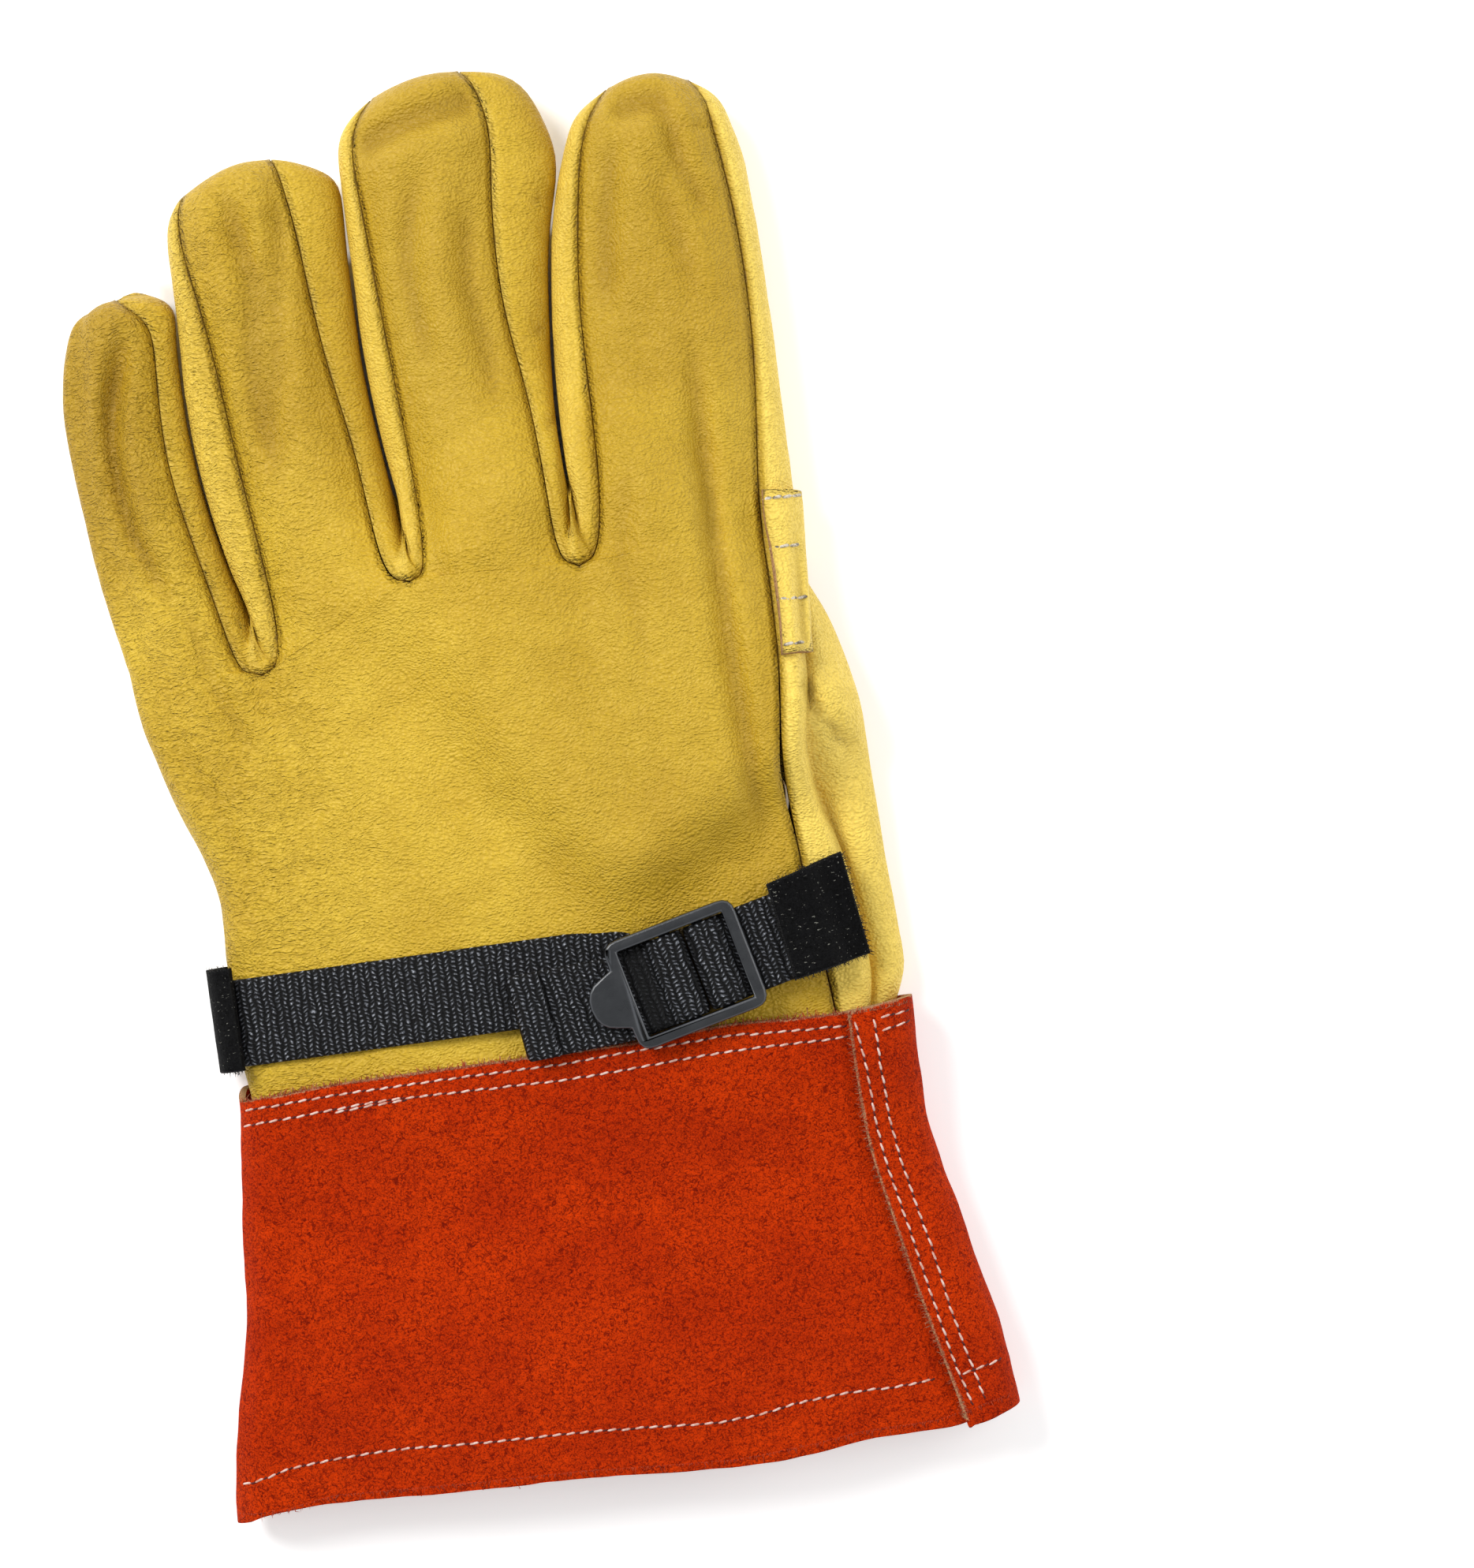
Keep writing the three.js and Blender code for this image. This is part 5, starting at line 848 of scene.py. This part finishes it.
def form_leather(obj, swell):
    """Adds the grooves of the back and soft waves, and stores what the leather's material reads."""
    mesh = obj.data
    places = coordinates(mesh)
    normals = np.array([v.normal for v in mesh.vertices])
    x, y, z = plan_places(mesh)
    seam = np.empty(len(mesh.vertices))
    mesh.attributes["seam"].data.foreach_get("value", seam)
    loose = ramp(seam, *OFF_SEAM)
    upper = ramp(z, *UPPER_SIDE)
    depth = groove_depth(x, y) * upper * loose
    places[:, 2] -= depth * MM
    spots = np.column_stack((x, y, z)) / WAVES
    wave = np.array([noise.fractal(Vector(spot), *WAVE_NOISE.values()) for spot in spots])
    free = ramp(z, *ABOVE_FLOOR)
    places += normals * (wave * swell * free * loose * MM)[:, None]
    places[:, 2] = np.maximum(places[:, 2], PRESSED_LEVEL * MM)
    set_coordinates(mesh, places)
    tone = painted_light_and_shade(x, y, z)
    # Painted light and painted shade on a fourchette, by the side that it faces.
    if obj.name.startswith("fourchette"):
        facing = normals[:, 0] * FOURCHETTE_PAINTED_LIGHT["gain"]
        tone = np.clip(facing, FOURCHETTE_PAINTED_LIGHT["darkest"], FOURCHETTE_PAINTED_LIGHT["palest"])
    store(mesh, "tone", tone)
    # The grooves' depth, for the painted shade in them.
    store(mesh, "painted_groove_shade", depth)
    # Where the buckle's painted shadow falls on the leather.
    store(mesh, "well", well_share(x, y) * upper)


def well_share(x, y):
    """How far arrays of plan places are inside the buckle's opening: 1 well inside it, 0 outside."""
    cos = math.cos(BUCKLE_WELL["turn"])
    sin = math.sin(BUCKLE_WELL["turn"])
    along = np.abs((x - BUCKLE_WELL["x"]) * cos + (y - BUCKLE_WELL["y"]) * sin)
    across = np.abs((y - BUCKLE_WELL["y"]) * cos - (x - BUCKLE_WELL["x"]) * sin)
    inside = np.minimum(BUCKLE_WELL["half_along"] - along, BUCKLE_WELL["half_across"] - across)
    return ramp(inside, -WELL_EDGE, 0)


def leather_piece(node, name, levels, materials=("grain",), swell=0.35):
    obj = smooth_copy(node, name, levels, *materials)
    form_leather(obj, swell)
    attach(obj, "root")
    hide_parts(node)
    return obj


# The webbing.

def band_rings(node):
    """The band's four corner points at each of its stations, from its first end to its last."""
    bm = joined_faces(node, BAND_JOIN_SHAPE)
    ends = [f for f in bm.faces if len(f.verts) == 4 and all(len(v.link_edges) == 3 for v in f.verts)]
    first = min(ends, key=lambda f: f.calc_center_median().x)
    ring = list(first.verts)
    seen = set(ring)
    rings = [ring]
    while True:
        following = []
        for vertex in ring:
            options = [e.other_vert(vertex) for e in vertex.link_edges if e.other_vert(vertex) not in seen]
            if not options:
                break
            following.append(min(options, key=lambda other: (other.co - vertex.co).length))
        if len(following) < 4:
            break
        ring = following
        seen.update(ring)
        rings.append(ring)
    corners = np.array([[v.co[:] for v in r] for r in rings])
    bm.free()
    return corners


def spline(values, at):
    """A smooth curve through values, at a place counted in them."""
    i = min(int(at), len(values) - 2)
    t = at - i
    here, after = values[i], values[i + 1]
    before = values[i - 1] if i > 0 else 2 * here - after
    beyond = values[i + 2] if i + 2 < len(values) else 2 * after - here
    return 0.5 * (2 * here + (after - before) * t + (2 * before - 5 * here + 4 * after - beyond) * t**2
                  + (3 * here - before - 3 * after + beyond) * t**3)


def band_section():
    """The band's section as places round its edge: across and up, from -1 to 1 each."""
    section = []
    for level in (1, -1):
        for k in range(BAND_ACROSS + 1):
            across = math.cos(math.pi * k / BAND_ACROSS) * level
            section.append((across, level * (1 - abs(across) ** BAND_SQUARENESS) ** 0.5))
    return section


def band_piece(node, name, material):
    """A smooth band through the CAD band's stations, with its length and width in mm as its UV map."""
    corners = band_rings(node)
    by_side = sorted(range(4), key=lambda k: -corners[0][k][1])
    low_right, high_right = sorted(by_side[:2], key=lambda k: corners[0][k][0])
    low_left, high_left = sorted(by_side[2:], key=lambda k: corners[0][k][0])
    centres = corners.mean(1)
    lengths = np.linalg.norm(np.diff(centres, axis=0), axis=1)
    stops = []
    for i, length in enumerate(lengths):
        steps = max(2, int(round(length / (BAND_STEP * MM))))
        stops.extend(i + k / steps for k in range(steps))
    stops.append(len(centres) - 1)
    section = band_section()
    bm = bmesh.new()
    uv = bm.loops.layers.uv.new("UVMap")
    rings = []
    along = []
    travelled = 0.0
    last_centre = None
    for stop in stops:
        four = [spline(corners[:, k], stop) for k in (low_right, high_right, low_left, high_left)]
        centre = sum(four) / 4
        if last_centre is not None:
            travelled += np.linalg.norm(centre - last_centre) / MM
        last_centre = centre
        across = (four[0] + four[1] - four[2] - four[3]) / 4
        up = (four[1] + four[3] - four[0] - four[2]) / 4
        rings.append([bm.verts.new(centre + across * a + up * b) for a, b in section])
        along.append(travelled)
    half = np.linalg.norm(across) / MM
    count = len(section)
    for i in range(len(rings) - 1):
        for k in range(count):
            after = (k + 1) % count
            face = bm.faces.new((rings[i][k], rings[i][after], rings[i + 1][after], rings[i + 1][k]))
            places = ((i, k), (i, after), (i + 1, after), (i + 1, k))
            for loop, (row, column) in zip(face.loops, places):
                loop[uv].uv = (along[row], section[column][0] * half)
    bm.faces.new(rings[0])
    bm.faces.new(list(reversed(rings[-1])))
    obj = finish_mesh(bm, name, material)
    store_painted_buckle_shadow(obj.data)
    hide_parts(node)
    return obj


def store_painted_buckle_shadow(mesh):
    """Painted shadow: webbing gets darker down the sides of its humps in the buckle's opening."""
    x, y, height = plan_places(mesh)
    inside = well_share(x, y)
    crest = height[inside > 0].max() if (inside > 0).any() else 0.0
    store(mesh, "well", ramp(crest - height, *HUMP_SHADE) * inside)


# The buckle.

def buckle_piece():
    mesh, _ = quad_mesh("buckle")
    obj = add_object("buckle_moulded", mesh, "plastic")
    mesh.polygons.foreach_set("material_index", [0] * len(mesh.polygons))
    bevel = obj.modifiers.new("rounded", "BEVEL")
    bevel.width = BUCKLE_ROUND * MM
    bevel.segments = BUCKLE_STEPS
    bevel.use_clamp_overlap = False
    bevel.limit_method = "ANGLE"
    bevel.angle_limit = BUCKLE_EDGE_ANGLE
    final = evaluated_mesh(obj)
    obj.modifiers.clear()
    obj.data = final
    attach(obj, "root")
    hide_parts("buckle")
    return obj


# The whole glove.

def patch_stitch_rows():
    """The reinforcement's stitch rows, each at its share of the way from the outer to the inner edge."""
    rows = []
    for share in PATCH_STITCH_SHARES:
        rows.append([np.array(outer) * (1 - share) + np.array(inner) * share for outer, inner in PATCH_EDGES])
    return rows


def build_glove():
    leather_piece("hand_leather", "hand_grain_leather", 2)
    for gap in ("little_ring", "ring_middle", "middle_index"):
        leather_piece("fourchette_" + gap, "fourchette_leather_" + gap, 2, swell=0.2)
    leather_piece("thumb", "thumb_leather", 2)
    edged = ("patch", "raw")
    patch = leather_piece("palm_patch", "patch_leather", 2, edged, 0.1)
    tongue = leather_piece("wrist_tongue", "tongue_leather", 2, edged, 0.0)
    cuff = leather_piece("cuff", "cuff_suede", 3, ("orange", "raw"), 0.5)
    black = ("black",)
    thumb_keeper = leather_piece("keeper_thumb_side", "keeper_suede_thumb_side", 2, black, 0.2)
    little_keeper = leather_piece("keeper_little_side", "keeper_suede_little_side", 2, black,
                                  0.15)
    band_piece("strap", "strap_webbing", "webbing")
    band_piece("strap_anchor", "anchor_webbing", "webbing")
    buckle_piece()
    sew_cuff(surface_of(cuff))
    stitch_piece("tongue_stitches", TONGUE_STITCHES, surface_of(tongue), STITCH, "patch_thread",
                 True)
    sew_patch(surface_of(patch))
    fringe_piece("keeper_fibres_thumb", KEEPER_CUT, surface_of(thumb_keeper), KEEPER_FIBRE, "black_fibre")
    fringe_piece("keeper_fibres_little", KEEPER_LITTLE_CUT, surface_of(little_keeper), KEEPER_FIBRE,
                 "black_fibre")


def sew_cuff(cuff):
    """The cuff's stitches, dark pieces of painted shade in the needle holes between them, and the fibres
    along its cut edges.
    """
    stitch_piece("cuff_stitches", CUFF_STITCHES, cuff, STITCH, "cuff_thread")
    stitch_piece("cuff_stitch_hole_shades", CUFF_STITCHES, cuff, HOLE_SHADE, "painted_hole_shade")
    stitch_piece("cuff_stitches_palm", PALM_CUFF_STITCHES, cuff, STITCH, "cuff_thread", True)
    fringe_piece("cuff_cut_fibres", CUFF_CUT, cuff, CUFF_FIBRE, "tan_fibre")
    fringe_piece("cuff_nap_fibres", CUFF_CUT + CUFF_HEM_CUT, cuff, CUFF_FIBRE, "orange_fibre")


def sew_patch(patch):
    """The reinforcement's rows of stitches on the palm, and those of its end on the back."""
    stitch_piece("patch_end_stitches", PATCH_END_STITCHES, patch, END_STITCH, "patch_thread")
    stitch_piece("patch_stitches", patch_stitch_rows(), patch, PATCH_STITCH, "patch_thread", True)


# Floor, light and camera.

def add_floor():
    bm = bmesh.new()
    bmesh.ops.create_grid(bm, x_segments=2, y_segments=2, size=FLOOR_HALF)
    mesh = bpy.data.meshes.new("floor")
    bm.to_mesh(mesh)
    bm.free()
    floor = add_object("floor", mesh, "floor")
    floor.location.z = -FLOOR_DROP


def add_area_light(name, place, size, power):
    """A round light that shines on the frame's zero."""
    light = bpy.data.lights.new(name, "AREA")
    light.shape = "DISK"
    light.size = size
    light.energy = power
    obj = bpy.data.objects.new(name, light)
    bpy.context.scene.collection.objects.link(obj)
    obj.location = place
    obj.rotation_euler = (-Vector(place)).to_track_quat("-Z", "Y").to_euler()


def add_light():
    world = bpy.data.worlds.new("soft_white")
    world.use_nodes = True
    background = world.node_tree.nodes["Background"]
    background.inputs["Color"].default_value = (1, 1, 1, 1)
    background.inputs["Strength"].default_value = WORLD_LIGHT
    bpy.context.scene.world = world
    for light in LIGHTS:
        add_area_light(**light)
    bpy.context.scene.view_settings.view_transform = "Standard"


def add_camera():
    data = bpy.data.cameras.new("camera")
    data.lens = LENS
    data.sensor_width = SENSOR
    data.sensor_fit = "AUTO"
    camera = bpy.data.objects.new("camera", data)
    bpy.context.scene.collection.objects.link(camera)
    distance = FRAME_HEIGHT * LENS / SENSOR
    camera.location = (CAMERA_PLACE[0] * MM, CAMERA_PLACE[1] * MM, (SCALE_HEIGHT + distance) * MM)
    camera.rotation_euler = (0, 0, CAMERA_TURN)
    bpy.context.scene.camera = camera


add_camera()
add_light()
add_floor()
build_glove()
